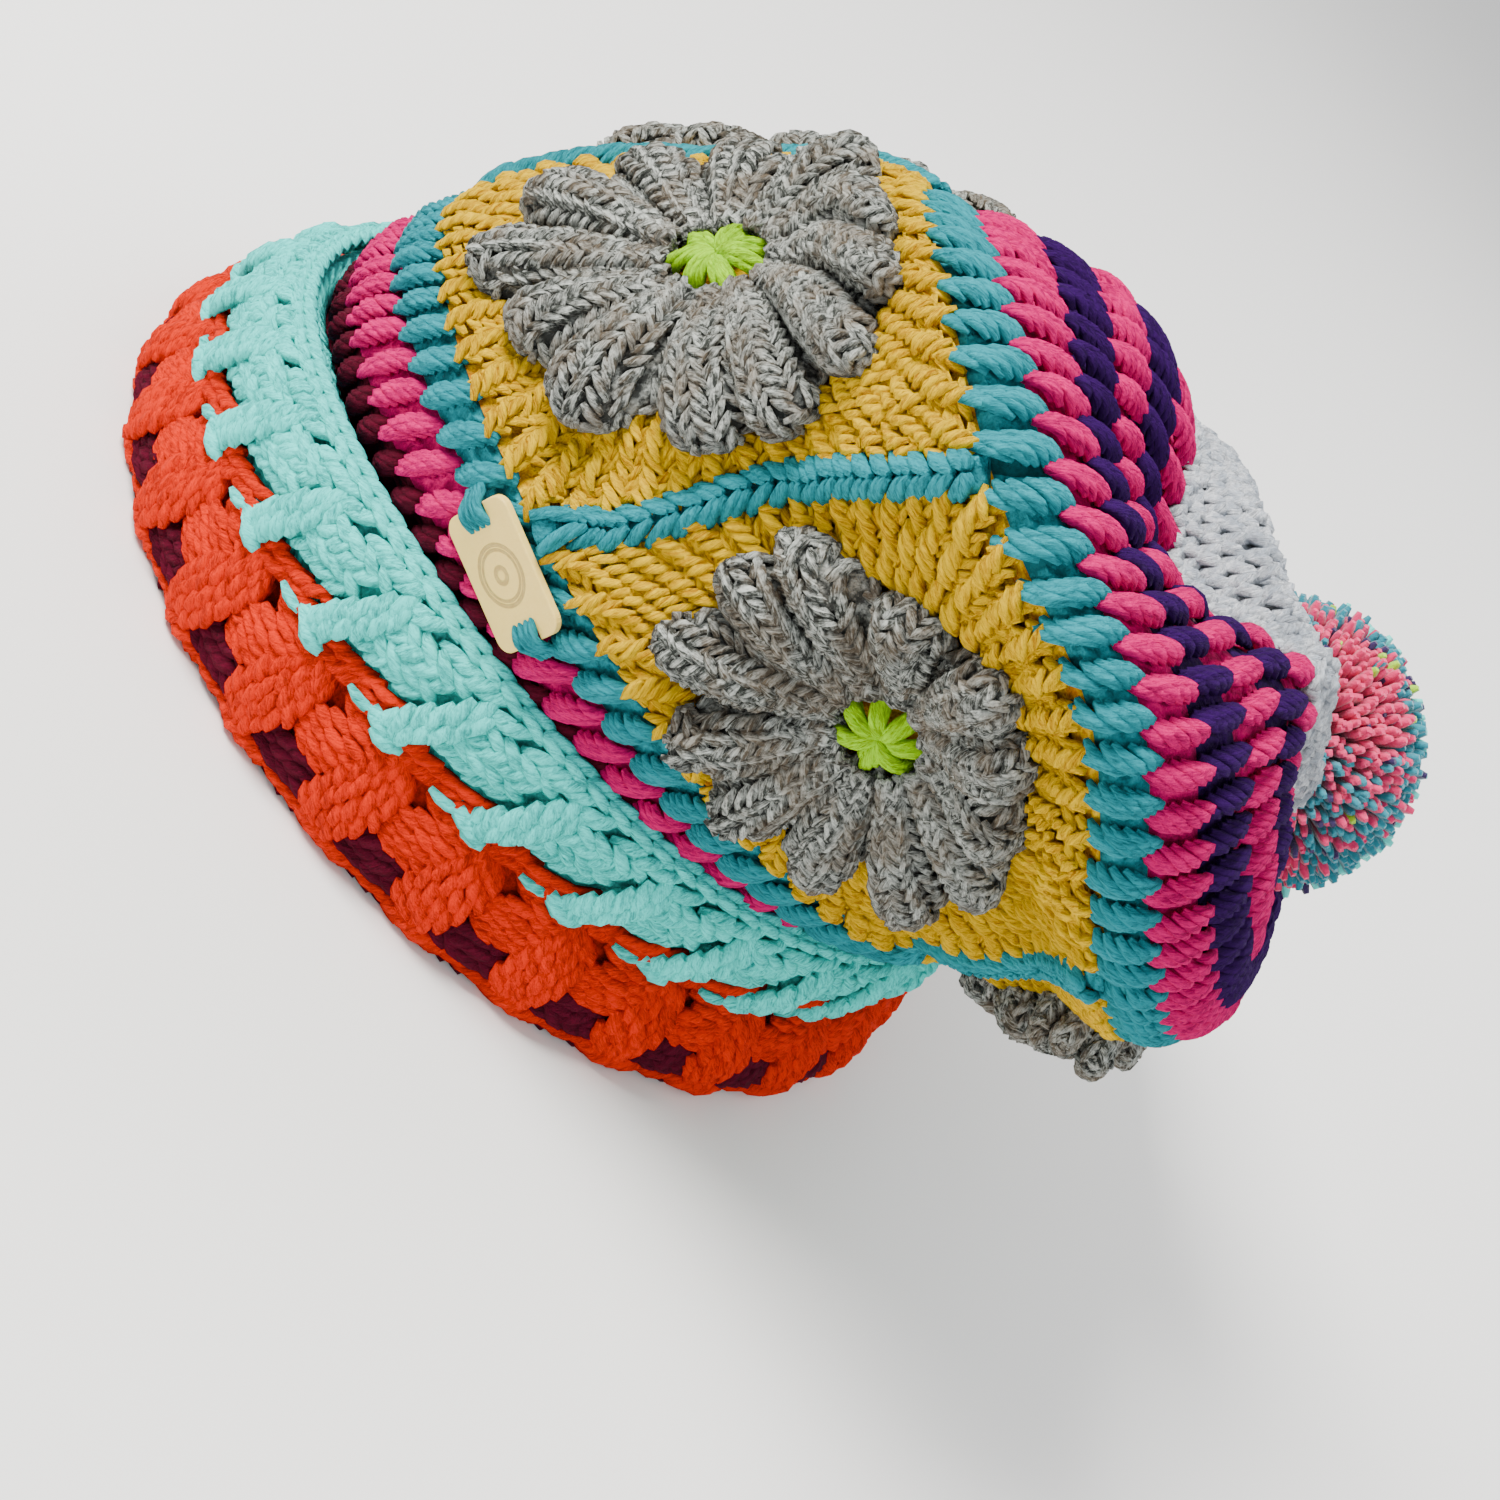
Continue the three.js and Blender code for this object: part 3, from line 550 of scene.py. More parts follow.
def yarn_finish(name, colour, heather=None, hollow_shade=0.15, hollow_shade_colour=None):
    """Spun yarn: twisted plies, fibres, painted shade in the hollows in a darker yarn colour or a given
    shadow colour, and heather flecks of two colours.
    """
    finish = Finish(name)
    turn = finish.stored("yarn_turn", out=1)
    length = finish.stored("yarn_length")
    tone = finish.stored("tone")
    weave = finish.stored("weave", out=1)
    place = finish.node("ShaderNodeTexCoord", out=3)
    turn_x = finish.node("ShaderNodeSeparateXYZ", _0=turn)
    angle = finish.math("ARCTAN2", turn_x.output(1), turn_x)
    once = math.tau / (PLY_PITCH * PLIES * MM)
    swirl = angle + length * once
    plies = finish.math("SINE", angle * PLIES + length * (PLIES * once))
    along = finish.node("ShaderNodeCombineXYZ", _0=finish.math("COSINE", swirl) * 1.1,
                        _1=finish.math("SINE", swirl) * 1.1, _2=length * 170)
    scattered = finish.node("ShaderNodeVectorMath", {"operation": "MULTIPLY_ADD"}, _0=place,
                            _1=(90.0, 90.0, 90.0), _2=along)
    streaks = finish.noise(scattered, 2.2, 4.0, 0.75)
    fibres = finish.noise(place, 850.0, 3.0, 0.65)
    across = finish.node("ShaderNodeSeparateXYZ", _0=weave)
    rows = finish.math("PINGPONG", across.output(1) * (1 / ROW_PITCH), 0.5)
    ribs = finish.math("SINE", across * (math.tau / RIB_PITCH) + rows * 5.0)
    knit = (rows * 1.4 + ribs * 0.35) * across.output(2)
    # Painted shade: the colour darkens between the plies, in the knit grooves of the ground and where the
    # tone is low, to a set share in the deepest places; the streaks and fibres vary it at random.
    bright = plies * 0.1 + streaks * 2.0 + fibres * 0.5 + tone * 0.9 + knit * 0.25
    lit = bright.spread(1.22, 1.85, hollow_shade, 1.0)
    shade = linear(colour)
    if heather:
        fleck = finish.noise(along, 1.3, 3.0, 0.7)
        cloudy = finish.noise(place, 140.0, 2.0, 0.6)
        first = (fleck * 0.6 + fibres * 0.4).spread(0.44, 0.56)
        shade = finish.mix(first, linear(colour), linear(heather[0]))
        shade = finish.mix(cloudy.spread(0.45, 0.62) * 0.55, shade, linear(heather[1]))
    # The painted shade's colour: the yarn's own colour at 0.22 of its strength, or a given colour of the
    # yarn in shadow.
    dark = linear(hollow_shade_colour) if hollow_shade_colour else linear(colour, 0.22)
    relief = finish.node("ShaderNodeBump", Strength=1.0, Distance=0.6 * MM,
                         Height=plies * 0.35 + streaks * 2.6 + fibres * 1.0 + knit * 1.6)
    finish.fill(finish.shader, Base_Color=finish.mix(lit, dark, shade), Normal=relief,
                Roughness=fibres.spread(0.3, 0.7, 0.8, 1.0), Sheen_Weight=0.04, Sheen_Roughness=0.5,
                Sheen_Tint=linear(colour), Specular_IOR_Level=0.08)
    return finish.material


chance = np.random.default_rng(11)
ROPE_ARCH = 0.7
ROPE_STEPS = 4


def jitter(spread, shape=None):
    return chance.uniform(-spread, spread, shape)


def round_ends(q, thick, least):
    """A strand's radii for q from -1 to 1, which fall to a share, least, of thick at both ends."""
    return thick * (least + (1 - least) * np.sqrt(np.maximum(1 - q**2, 0)))


def lay_rope(yarn, path, out, length, lean, thick, spacing=2.7, loose=16, tone=0.5):
    """A braided rope along a path: short strands that lean over it, one behind the other."""
    reach = np.concatenate([[0], np.cumsum(np.linalg.norm(np.diff(path, axis=0), axis=1))])
    number = max(int(round(reach[-1] / spacing)), 1)
    at = (np.arange(number) + 0.5) * reach[-1] / number

    def along(values, place):
        return np.stack([np.interp(place, reach, values[:, k]) for k in range(3)], 1)

    normal = unit(along(out, at))
    ahead = unit(along(path, np.minimum(at + 1.0, reach[-1])) - along(path, np.maximum(at - 1.0, 0)))
    side = np.cross(normal, ahead)
    leaning = np.radians(lean + jitter(loose, number))[:, None]
    way = ahead * np.cos(leaning) + side * np.sin(leaning)
    q = np.linspace(-1, 1, ROPE_STEPS)
    rise = ROPE_ARCH * (1 - q**2) + jitter(0.3, number)[:, None]
    points = along(path, at)[:, None] + way[:, None] * (q * length / 2)[None, :, None]
    points = points + normal[:, None] * rise[..., None]
    yarn.strands(points, round_ends(q, thick, 0.55)[None, :], tone + jitter(0.14, number)[:, None])


# The cuff is worked in raised post stitches that lean into cables, folded up over the band: the
# lower part in orange with burgundy showing at the fold, the upper part in aqua with claws that
# reach down over orange loops, and a chain edge along the top.
CUFF_REPEATS = 27
CUFF_COLUMNS = ("y", "height", "left", "right", "front", "rear", "rise")
CUFF_RINGS = (
    (-3, 1.6, 93, 93, 102, 102, 0),
    (0, 1.4, 98, 98, 107, 107, 0),
    (4, 5.5, 100.2, 100.2, 109.2, 109.2, 0),
    (14, 15, 101, 101, 105, 105, 2.5),
    (25, 27, 101.5, 101.5, 100.5, 100.5, 5),
    (37, 39, 101, 101, 95.5, 103, 5.5),
    (47, 49, 98.5, 98.5, 90, 103.5, 6),
    (50, 50, 95.5, 95.5, 87.5, 100.5, 6),
)
cuff_shape = dict(zip(CUFF_COLUMNS, np.array(CUFF_RINGS, float).T))


def cuff_surface(angle, y):
    angle, y = spread_over(angle, y)
    height, left, right, front, rear, rise = (
        np.interp(y, cuff_shape["y"], cuff_shape[name]) for name in CUFF_COLUMNS[1:]
    )
    cosine, sine = np.cos(angle), np.sin(angle)
    return np.stack([
        cosine * np.where(cosine > 0, left, right),
        sine * np.where(sine > 0, rear, front),
        height + rise * np.cos(2 * angle),
    ], -1)


def cuff_out(angle, y):
    round_way = cuff_surface(angle + 0.01, y) - cuff_surface(angle - 0.01, y)
    up_way = cuff_surface(angle, y + 1.5) - cuff_surface(angle, y - 1.5)
    return unit(np.cross(round_way, up_way))


REPEAT = 23.5
CUFF_STITCH_COLUMNS = ("x0", "y0", "x1", "y1", "low", "bulge", "ropes", "gap", "thick", "lean", "tone")
CUFF_STITCHES = {
    "orange": (
        (8.4, 2.8, 18.6, 23.0, 0.8, 3.9, 4, 2.7, 1.8, 32, 0.52),
        (-3.6, 13.0, 18.0, 22.0, 0.4, 2.9, 4, 2.5, 1.75, -32, 0.5),
        (-5.5, 2.2, 7.5, 2.4, 0.2, 0.8, 1, 2.4, 1.2, 18, 0.48),
        (5.5, 1.6, 19.0, 1.4, 0.6, 2.0, 2, 2.6, 1.7, 26, 0.5),
        (0.2, 26.4, 12.9, 30.2, 0.6, 1.8, 2, 2.9, 1.45, 12, 0.54),
        (10.0, 24.5, 24.5, 26.5, -0.2, 0.8, 2, 2.6, 1.6, 20, 0.42),
        (1.5, 22.6, 12.0, 25.8, 0.4, 1.8, 2, 2.5, 1.6, -24, 0.48),
    ),
    "burgundy": (
        (-8.5, 7.2, 7.0, 8.8, -0.6, 0.9, 2, 2.8, 1.8, 20, 0.5),
        (-9.5, 4.2, 6.5, 4.8, -0.4, 0.6, 1, 2.8, 1.7, -20, 0.45),
        (-10.5, -0.2, 12.8, -0.2, 0.8, 1.0, 1, 2.4, 1.7, 26, 0.5),
    ),
    "aqua": (
        (9.6, 25.2, 20.6, 43.0, 1.8, 4.0, 2, 2.8, 2.05, 32, 0.56),
        (6.8, 26.6, 13.6, 23.6, 1.5, 2.8, 1, 2.7, 2.1, 10, 0.58),
        (14.5, 32.0, 33.5, 34.2, 0.4, 1.4, 1, 2.8, 1.65, 30, 0.46),
        (15.5, 34.8, 35.0, 37.0, 0.8, 2.0, 1, 2.8, 1.7, -30, 0.5),
        (16.5, 37.6, 36.5, 39.8, 0.9, 2.2, 1, 2.8, 1.75, 30, 0.52),
        (18.0, 40.4, 38.5, 42.4, 0.9, 2.2, 1, 2.8, 1.75, -30, 0.52),
        (19.5, 43.4, 26.0, 45.0, 0.9, 1.8, 1, 2.8, 1.75, 24, 0.52),
        (29.6, 44.4, 43.0, 45.2, 0.9, 1.8, 1, 2.8, 1.75, 24, 0.52),
        (1.6, 25.0, 6.4, 25.4, 1.9, 2.5, 1, 2.0, 1.35, 8, 0.5),
    ),
}


def lay_cuff(yarn, stitches):
    for repeat in range(CUFF_REPEATS):
        for row in stitches:
            stitch = dict(zip(CUFF_STITCH_COLUMNS, row))
            t = np.linspace(0, 1, 9)
            dx, dy = stitch["x1"] - stitch["x0"], stitch["y1"] - stitch["y0"]
            size = math.hypot(dx, dy)
            for rope in range(stitch["ropes"]):
                offset = (rope - (stitch["ropes"] - 1) / 2) * stitch["gap"]
                swollen = offset / size * (0.6 + 0.4 * np.sin(math.pi * t))
                x = stitch["x0"] + dx * t - dy * swollen
                y = stitch["y0"] + dy * t + dx * swollen
                angle = (repeat + (x + jitter(0.3)) / REPEAT) * math.tau / CUFF_REPEATS
                out = cuff_out(angle, y)
                raised = stitch["low"] + (stitch["bulge"] - stitch["low"]) * np.sin(math.pi * t)
                raised = raised + (1 - abs(offset) / 4) * 0.6
                lay_rope(yarn, cuff_surface(angle, y) + out * raised[:, None], out, spacing=4.0,
                         length=7.4, lean=stitch["lean"], thick=stitch["thick"], loose=14,
                         tone=stitch["tone"])


CUFF_GROUND_SUNK = 1.4


def cuff_ground(yarn, low, high):
    angles = np.linspace(0, math.tau, 8 * CUFF_REPEATS, endpoint=False)
    ys = np.linspace(low, high, 9)
    outer = cuff_surface(angles[None, :], ys[:, None])
    outer = outer - cuff_out(angles[None, :], ys[:, None]) * CUFF_GROUND_SUNK
    inner_rows = np.interp(outer[..., 2], [0, 46, 60], [0, 1.05, 1.9])
    inner = skin_point(angles[None, :], inner_rows, 0.6)
    inner[..., 2] = np.minimum(inner[..., 2], outer[..., 2])
    # The ground under the cables gets a low tone: painted shade, as it lies sunk under them.
    shell(yarn, outer, inner, True, tone=0.3)


orange = yarn_finish("orange_yarn", (248, 44, 0))
burgundy = yarn_finish("burgundy_yarn", (96, 14, 40))
# The dark teal second colour of the aqua is painted shade in its hollows.
aqua = yarn_finish("aqua_yarn", (84, 255, 244), hollow_shade_colour=(16, 120, 116))
cuff_low = Yarn()
cuff_ground(cuff_low, -1, 26.5)
lay_cuff(cuff_low, CUFF_STITCHES["orange"])
cuff_low.make(orange, "cuff_orange", "yarn_orange")
cuff_high = Yarn()
cuff_ground(cuff_high, 25.5, 49.2)
lay_cuff(cuff_high, CUFF_STITCHES["aqua"])
CHAIN_LOOPS = 4 * CUFF_REPEATS
CHAIN_ROW = 47.4
q = np.linspace(-1, 1, 5)
for side in (-1, 1):
    angle = (np.arange(CHAIN_LOOPS)[:, None] + 0.5 + q * 0.62) * math.tau / CHAIN_LOOPS
    y = CHAIN_ROW + side * (0.4 + 1.5 * (q + 1) / 2)
    lift = 1.3 + 0.9 * (1 - q**2)
    points = cuff_surface(angle, y) + cuff_out(angle, CHAIN_ROW - 0.4) * lift[:, None]
    cuff_high.strands(points, round_ends(q, 1.5, 0.6), 0.56)
cuff_high.make(aqua, "cuff_aqua", "yarn_aqua")

# The band under the cuff is burgundy. It shows as one round above the cuff, at the fold between
# the orange cables, and on the inside of the hat. Stitches that lie under the tag are pressed flat.
TAG_ANGLE = math.radians(10)
TAG_ROW = 3.1
TAG_TILT = math.radians(-9)
TAG_RAISE = 2.6
HALF_LENGTH = 13.5
HALF_WIDTH = 9.0
PRESSED_MARGIN = 0.6
PRESSED_DEPTH = 1.6
PRESSED_REACH = 12.0
tag_axes = cloth_axes(np.array([TAG_ANGLE]), np.array([TAG_ROW]))
tag_round, tag_up, tag_out = (way.ravel() for way in tag_axes)
tag_long = tag_round * math.cos(TAG_TILT) + tag_up * math.sin(TAG_TILT)
tag_across = np.cross(tag_out, tag_long)
tag_place = cloth_point(TAG_ANGLE, TAG_ROW).ravel() + tag_out * TAG_RAISE


def press_under_tag(points):
    offset = points - tag_place
    raised = offset @ tag_out
    under = np.abs(offset @ tag_long) < HALF_LENGTH + PRESSED_MARGIN
    under &= np.abs(offset @ tag_across) < HALF_WIDTH + PRESSED_MARGIN
    under &= (raised > -PRESSED_DEPTH) & (raised < PRESSED_REACH)
    return points - np.where(under, raised + PRESSED_DEPTH, 0)[..., None] * tag_out


PUFF_STRANDS = 6
PUFF_STEPS = 6
PUFF_THICK = 1.22
PUFF_LEAN = 0.42


def puff_round(yarn, low, high, number, shift=0.0, bulge=2.9, over=0.06):
    """One round of puffs between two rows, each a pointed bundle of leaning strands."""
    middle, half = (low + high) / 2, (high - low) / 2 * (1 + over)
    q = np.linspace(-1, 1, PUFF_STEPS)[None, None, :]
    step = math.tau / number
    puff = np.arange(number)[:, None, None]
    place = np.linspace(-0.78, 0.78, PUFF_STRANDS)[None, :, None]
    wide = step * 0.34 * np.maximum(1 - np.abs(place) ** 2.4, 0.08) ** 0.55
    sway = jitter(0.05, (number, 1, 1)) * step
    lean = PUFF_LEAN * chance.uniform(0.7, 1.3, (number, 1, 1))
    s = np.clip(place + lean * q + jitter(0.07, (number, PUFF_STRANDS, 1)), -1.05, 1.05)
    row = middle + half * s
    angle = seam_angle(row) + (puff + 0.5 + shift) * step + sway + wide * q
    proud = bulge * (1 + jitter(0.15, (number, 1, 1)))
    height = proud * (1 - 0.7 * q**2) * (1 - 0.55 * s**2) - 0.2
    points = press_under_tag(skin_point(angle, row, height))
    yarn.strands(points, round_ends(q.ravel(), PUFF_THICK, 0.6),
                 0.5 + jitter(0.1, (number * PUFF_STRANDS, 1)))


GROUND_COLUMNS = 180


def round_ground(yarn, low, high, rows=5):
    turns = np.arange(GROUND_COLUMNS) * math.tau / GROUND_COLUMNS
    levels = np.linspace(low, high, rows)[:, None]
    angle = turns[None, :] + seam_angle(levels)
    shell(yarn, skin_point(angle, levels, -0.9), skin_point(angle, levels, -WALL), True)


PUFFS = 65


def crochet_round(finish, node, slot, low, high, number=PUFFS, start=0.0, name=None, **puffs):
    """The round between two rows, with puffs that start a little over the lower row."""
    ring = Yarn()
    round_ground(ring, ROW[low], ROW[high])
    puff_round(ring, ROW[low] + start, ROW[high], number, **puffs)
    ring.make(finish, node, slot, name=name)


band = Yarn()
round_ground(band, 0, ROW["burgundy"], rows=12)
puff_round(band, ROW["burgundy"] - 0.55, ROW["burgundy"] + 0.1, PUFFS, bulge=2.0)
lay_cuff(band, CUFF_STITCHES["burgundy"])
band.make(burgundy, "inner_band", "yarn_burgundy", name="band_crochet")

# Above the cuff come a pink and a teal round of puffs, each puff of three stitches drawn in to a
# point at both ends, so that the rounds bite into each other like teeth.
# The small hollow share lets their painted shade go nearly black in the hollows.
pink = yarn_finish("pink_yarn", (246, 8, 124), hollow_shade=0.1)
teal = yarn_finish("teal_yarn", (46, 166, 178), hollow_shade=0.1)
crochet_round(pink, "round_pink_lower", "yarn_pink", "burgundy", "pink", start=0.05, shift=0.5,
              name="pink_round_crochet")
crochet_round(teal, "round_teal_lower", "yarn_teal", "pink", "teal", name="teal_round_crochet")

# The tag is a small plate of pale artificial leather, plain but for round grooves pressed into it.
# It lies on the rounds over the cuff, and a teal yarn strap holds it by the notch in each end.
TAG_THICK = 1.6
CORNER = 3.0
NOTCH_HALF = 3.0
NOTCH_DEPTH = 3.0
SOFT_EDGE = 0.3
SOFT_MIDDLE = 0.09
NOTCH_FLOOR = HALF_LENGTH - NOTCH_DEPTH
NOTCH = ((HALF_LENGTH, -NOTCH_HALF), (NOTCH_FLOOR, -NOTCH_HALF), (NOTCH_FLOOR, NOTCH_HALF),
         (HALF_LENGTH, NOTCH_HALF))
outline = []
for corner_x, corner_y, start in ((1, -1, -90), (1, 1, 0), (-1, 1, 90), (-1, -1, 180)):
    for turn in np.radians(start + np.linspace(0, 90, 7)):
        outline.append((corner_x * (HALF_LENGTH - CORNER) + CORNER * math.cos(turn),
                        corner_y * (HALF_WIDTH - CORNER) + CORNER * math.sin(turn)))
    if start in (-90, 90):
        outline += [(corner_x * x, corner_x * y) for x, y in NOTCH]
outline = np.array(outline)
edge = np.roll(outline, -1, 0) - outline
edge_out = unit(np.stack([edge[:, 1], -edge[:, 0]], 1))
corner_out = edge_out + np.roll(edge_out, 1, 0)
corner_out /= (1 + (edge_out * np.roll(edge_out, 1, 0)).sum(1, keepdims=True))
rings = [(0.0, SOFT_EDGE), (SOFT_MIDDLE, SOFT_MIDDLE), (SOFT_EDGE, 0.0)]
rings += [(TAG_THICK - level, inset) for level, inset in rings[::-1]]
flat_points = np.concatenate([
    np.column_stack([outline - corner_out * inset, np.full(len(outline), level)])
    for level, inset in rings
])
count = len(outline)
tag_faces = [list(range(count))[::-1], list(range((len(rings) - 1) * count, len(rings) * count))]
for level in range(len(rings) - 1):
    for k in range(count):
        a, b = level * count + k, level * count + (k + 1) % count
        tag_faces.append([a, b, b + count, a + count])
tag_frame = np.stack([tag_long, tag_across, tag_out])
placed = (tag_place + flat_points @ tag_frame - CENTRE_OF_HAT) * MM
tag_mesh = bpy.data.meshes.new("tag_plate")
tag_mesh.from_pydata(placed.tolist(), [], tag_faces)
mark(tag_mesh, "plate", flat_points)
leather = Finish("tag_leather")
plate = leather.stored("plate", out=1)
from_middle = leather.node("ShaderNodeVectorMath", {"operation": "LENGTH"}, out=1, _0=plate)
groove = 0
for radius, half in ((6.0, 0.22), (5.1, 0.14), (2.2, 0.18)):
    off = leather.math("ABSOLUTE", from_middle - radius)
    groove = off.spread(half, half + 0.22, 1.0, 0.0) + groove
grain = leather.node("ShaderNodeTexVoronoi", Vector=plate, Scale=1.6)
creases = leather.noise(plate, 0.9, 4.0, 0.6)
pressed = leather.mix(groove * 0.8, linear((226, 192, 96)), linear((118, 86, 28)))
mottled = leather.mix(creases * 0.5, pressed, linear((238, 212, 128)))
leather_relief = leather.node("ShaderNodeBump", Strength=0.8, Distance=0.25 * MM,
                              Height=grain * 0.25 + creases * 0.6 - groove * 1.4)
leather.fill(leather.shader, Base_Color=mottled, Roughness=0.55, Normal=leather_relief)
tag_mesh.materials.append(leather.material)
set_on_hat("tag_plate", tag_mesh, "tag", "tag_leather")
for end, node in ((-1, "tag_strap_front"), (1, "tag_strap_back")):
    strap = Yarn()
    q = np.linspace(0, 1, 8)
    for strand in (-1.5, -0.5, 0.5, 1.5):
        reach = end * (NOTCH_FLOOR - 1.0 + 7.0 * q)
        across = strand * 1.45 + 0.4 * np.sin(3 * q + strand)
        lift = 1.0 + 1.4 * np.sin(math.pi * np.minimum(q * 1.15, 1)) - 5.0 * np.maximum(q - 0.55, 0)
        points = tag_place + np.stack([reach, across, lift], 1) @ tag_frame
        strap.strands(points[None], 0.95, 0.5 + jitter(0.1))
    strap.make(teal, node, "yarn_teal", FINE_SIDES, node + "_yarn")

# The five squares are the soft wall of the hat. Their yellow posts stand like spokes round the
# flower, in groups of three that are drawn together where they meet the teal rounds.
# The yellow's orange-brown second colour is painted shade, for the yarn in its hollows.
yellow = yarn_finish("yellow_yarn", (255, 208, 0), hollow_shade_colour=(150, 66, 0))
GROUPS_PER_SIDE = 13
SPOKES_FROM = 0.29
SQUARE_SHAPE = 0.755
FLOWER_PLACES = ((0.435, 0.44), (0.46, 0.5), (0.5, 0.5), (0.5, 0.46), (0.59, 0.5))
POSTS = 3
SQUARE_WIDTH = 120
BUMP_PITCH = 13


def square_edge(share):
    """The place on the square's edge at a share of the way round it, from its corner at 0, 0."""
    side, t = divmod(share * 4, 1)
    return np.array(((t, 0), (1, t), (1 - t, 1), (0, 1 - t))[int(side)])


for motif in range(MOTIFS):
    panel = Yarn()
    cells = np.linspace(0, 1, 29)
    outer = motif_point(motif, cells[None, :], cells[:, None], -0.6)
    inner = motif_point(motif, cells[None, :], cells[:, None], -WALL)
    shell(panel, outer, inner, False)
    groups = 4 * GROUPS_PER_SIDE
    for group in range(groups):
        tip = square_edge((group + 0.5) / groups)
        for post in range(POSTS):
            spread = (post - (POSTS - 1) / 2) / (GROUPS_PER_SIDE * POSTS)
            foot_edge = square_edge((group + 0.5) / groups + spread / 4)
            ray = foot_edge - FLOWER_PLACES[motif]
            start = FLOWER_PLACES[motif] + ray * SPOKES_FROM / math.hypot(ray[0], ray[1] * SQUARE_SHAPE)
            t = np.linspace(0, 1, 10)[:, None]
            line = start + (foot_edge - start) * t + (tip - foot_edge) * np.maximum(t - 0.55, 0) * 1.6
            size = np.linalg.norm(foot_edge - start)
            bumps = max(int(round(size * SQUARE_WIDTH / BUMP_PITCH)), 1)
            puffed = np.abs(np.sin(math.pi * bumps * t[:, 0]))
            height = 0.2 + 1.5 * puffed + (1.3 if post == 1 else -0.3)
            points = motif_point(motif, line[:, 0], line[:, 1], height)
            out = points - motif_point(motif, line[:, 0], line[:, 1], height - 1)
            points = press_under_tag(points - out) + out
            lay_rope(panel, points, out, length=6.0, lean=36 if post % 2 else -36, thick=1.2)
    panel.make(yellow, f"panel_{motif + 1}", "yarn_yellow", DENSE_SIDES)

# The squares are joined by a raised teal ridge, a row of stitches through both edges whose strands
# lean away from its middle on both sides like an ear of corn.
RIDGE_STITCHES = 20
RIDGE_HALF_WIDTH = 3.5
RIDGE_STEPS = 60
for motif in range(MOTIFS):
    ridge = Yarn()
    q = np.linspace(-1, 1, 6)
    ups = np.linspace(0, 1, RIDGE_STEPS + 1)
    middles = motif_point(motif, 0, ups, 0)
    ways = unit(np.gradient(middles, axis=0))
    outs = motif_point(motif, 0, ups, 1.0) - middles
    sides = np.cross(ways, outs)
    profile = np.linspace(-1, 1, 7)
    bed = middles[:, None] + sides[:, None] * (profile * 3.6)[None, :, None]
    top = bed + outs[:, None] * (0.9 + 2.6 * (1 - profile**2))[None, :, None]
    shell(ridge, press_under_tag(top), bed - outs[:, None] * 0.6, False)
    for stitch in range(RIDGE_STITCHES):
        at = (stitch + 0.5) / RIDGE_STITCHES * RIDGE_STEPS
        for side in (-1, 1):
            for strand in (0, 1):
                run = np.clip(at + (q * 1.9 + strand * 1.05), 0, RIDGE_STEPS)
                near = np.clip(run.astype(int), 0, RIDGE_STEPS - 1)
                f = (run - near)[:, None]
                base = middles[near] * (1 - f) + middles[near + 1] * f
                across = side * (RIDGE_HALF_WIDTH * (0.5 - 0.5 * q) + 0.3)[:, None]
                lift = (2.0 + 3.0 * (1 - ((1 - q) / 2) ** 2))[:, None]
                points = base + sides[near] * across + outs[near] * lift
                points = press_under_tag(points + jitter(0.3, 3))
                ridge.strands(points[None], round_ends(q, 1.25, 0.62), 0.5 + jitter(0.1))
    ridge.make(teal, f"seam_{motif + 1}", "yarn_teal")

# A flower of grey heather yarn lies on each square: twelve puffy petals of post stitches, whose
# braided ribs run out from the middle, over the petal's back and down round its tip.
PETALS = 12
RIBS_PER_PETAL = 6
FLOWER_REACH = np.array([0.34, 0.45])
FLOWER_HOLE = 0.21
PETAL_HEIGHT = 10.0
TIP_FROM = 0.86
EYE_ARMS = 7
EYE_REACH = 0.27
# The heather flecks are the yarn's own colours; the small hollow share lets its painted shade go nearly
# black.
grey = yarn_finish("grey_heather_yarn", (76, 79, 74), heather=((212, 216, 208), (136, 116, 92)),
                   hollow_shade=0.06)
# The olive second colour of the lime is painted shade in its hollows.
lime = yarn_finish("lime_yarn", (180, 250, 0), hollow_shade_colour=(84, 120, 0))


def flower_point(motif, reach, turn, height):
    """Points of a motif at a reach and a turn from the middle of its flower."""
    along, up = FLOWER_PLACES[motif]
    along = along + FLOWER_REACH[0] * reach * np.cos(turn)
    return motif_point(motif, along, up + FLOWER_REACH[1] * reach * np.sin(turn), height)


def petal_point(motif, petal, s, t, sunk=0.0):
    """s runs from the middle over the tip and down, t across the petal from -1 to 1."""
    swing, swell, stretch = petal_shapes[motif][petal]
    flat = np.clip(s / TIP_FROM, 0, 1)
    drop = np.clip((s - TIP_FROM) / (1 - TIP_FROM), 0, 1)
    longest = stretch * (1 - 0.2 * np.abs(t) ** 2.2)
    reach = FLOWER_HOLE + (longest - FLOWER_HOLE) * flat - 0.03 * drop
    narrow = 1.04 - 0.1 * smooth(flat, 0.75, 1.0)
    turn = (petal + 0.5 + swing) * math.tau / PETALS + t * narrow * math.pi / PETALS
    full = PETAL_HEIGHT * swell * (0.42 + 0.58 * smooth(flat, 0.0, 0.65))
    round_tip = np.sqrt(np.maximum(1 - (smooth(s, 0.62, 1.0)) ** 2 * 0.96, 0))
    height = 1.8 + full * (1 - 0.8 * np.abs(t) ** 2.4) * round_tip - sunk
    return flower_point(motif, reach, turn, height)


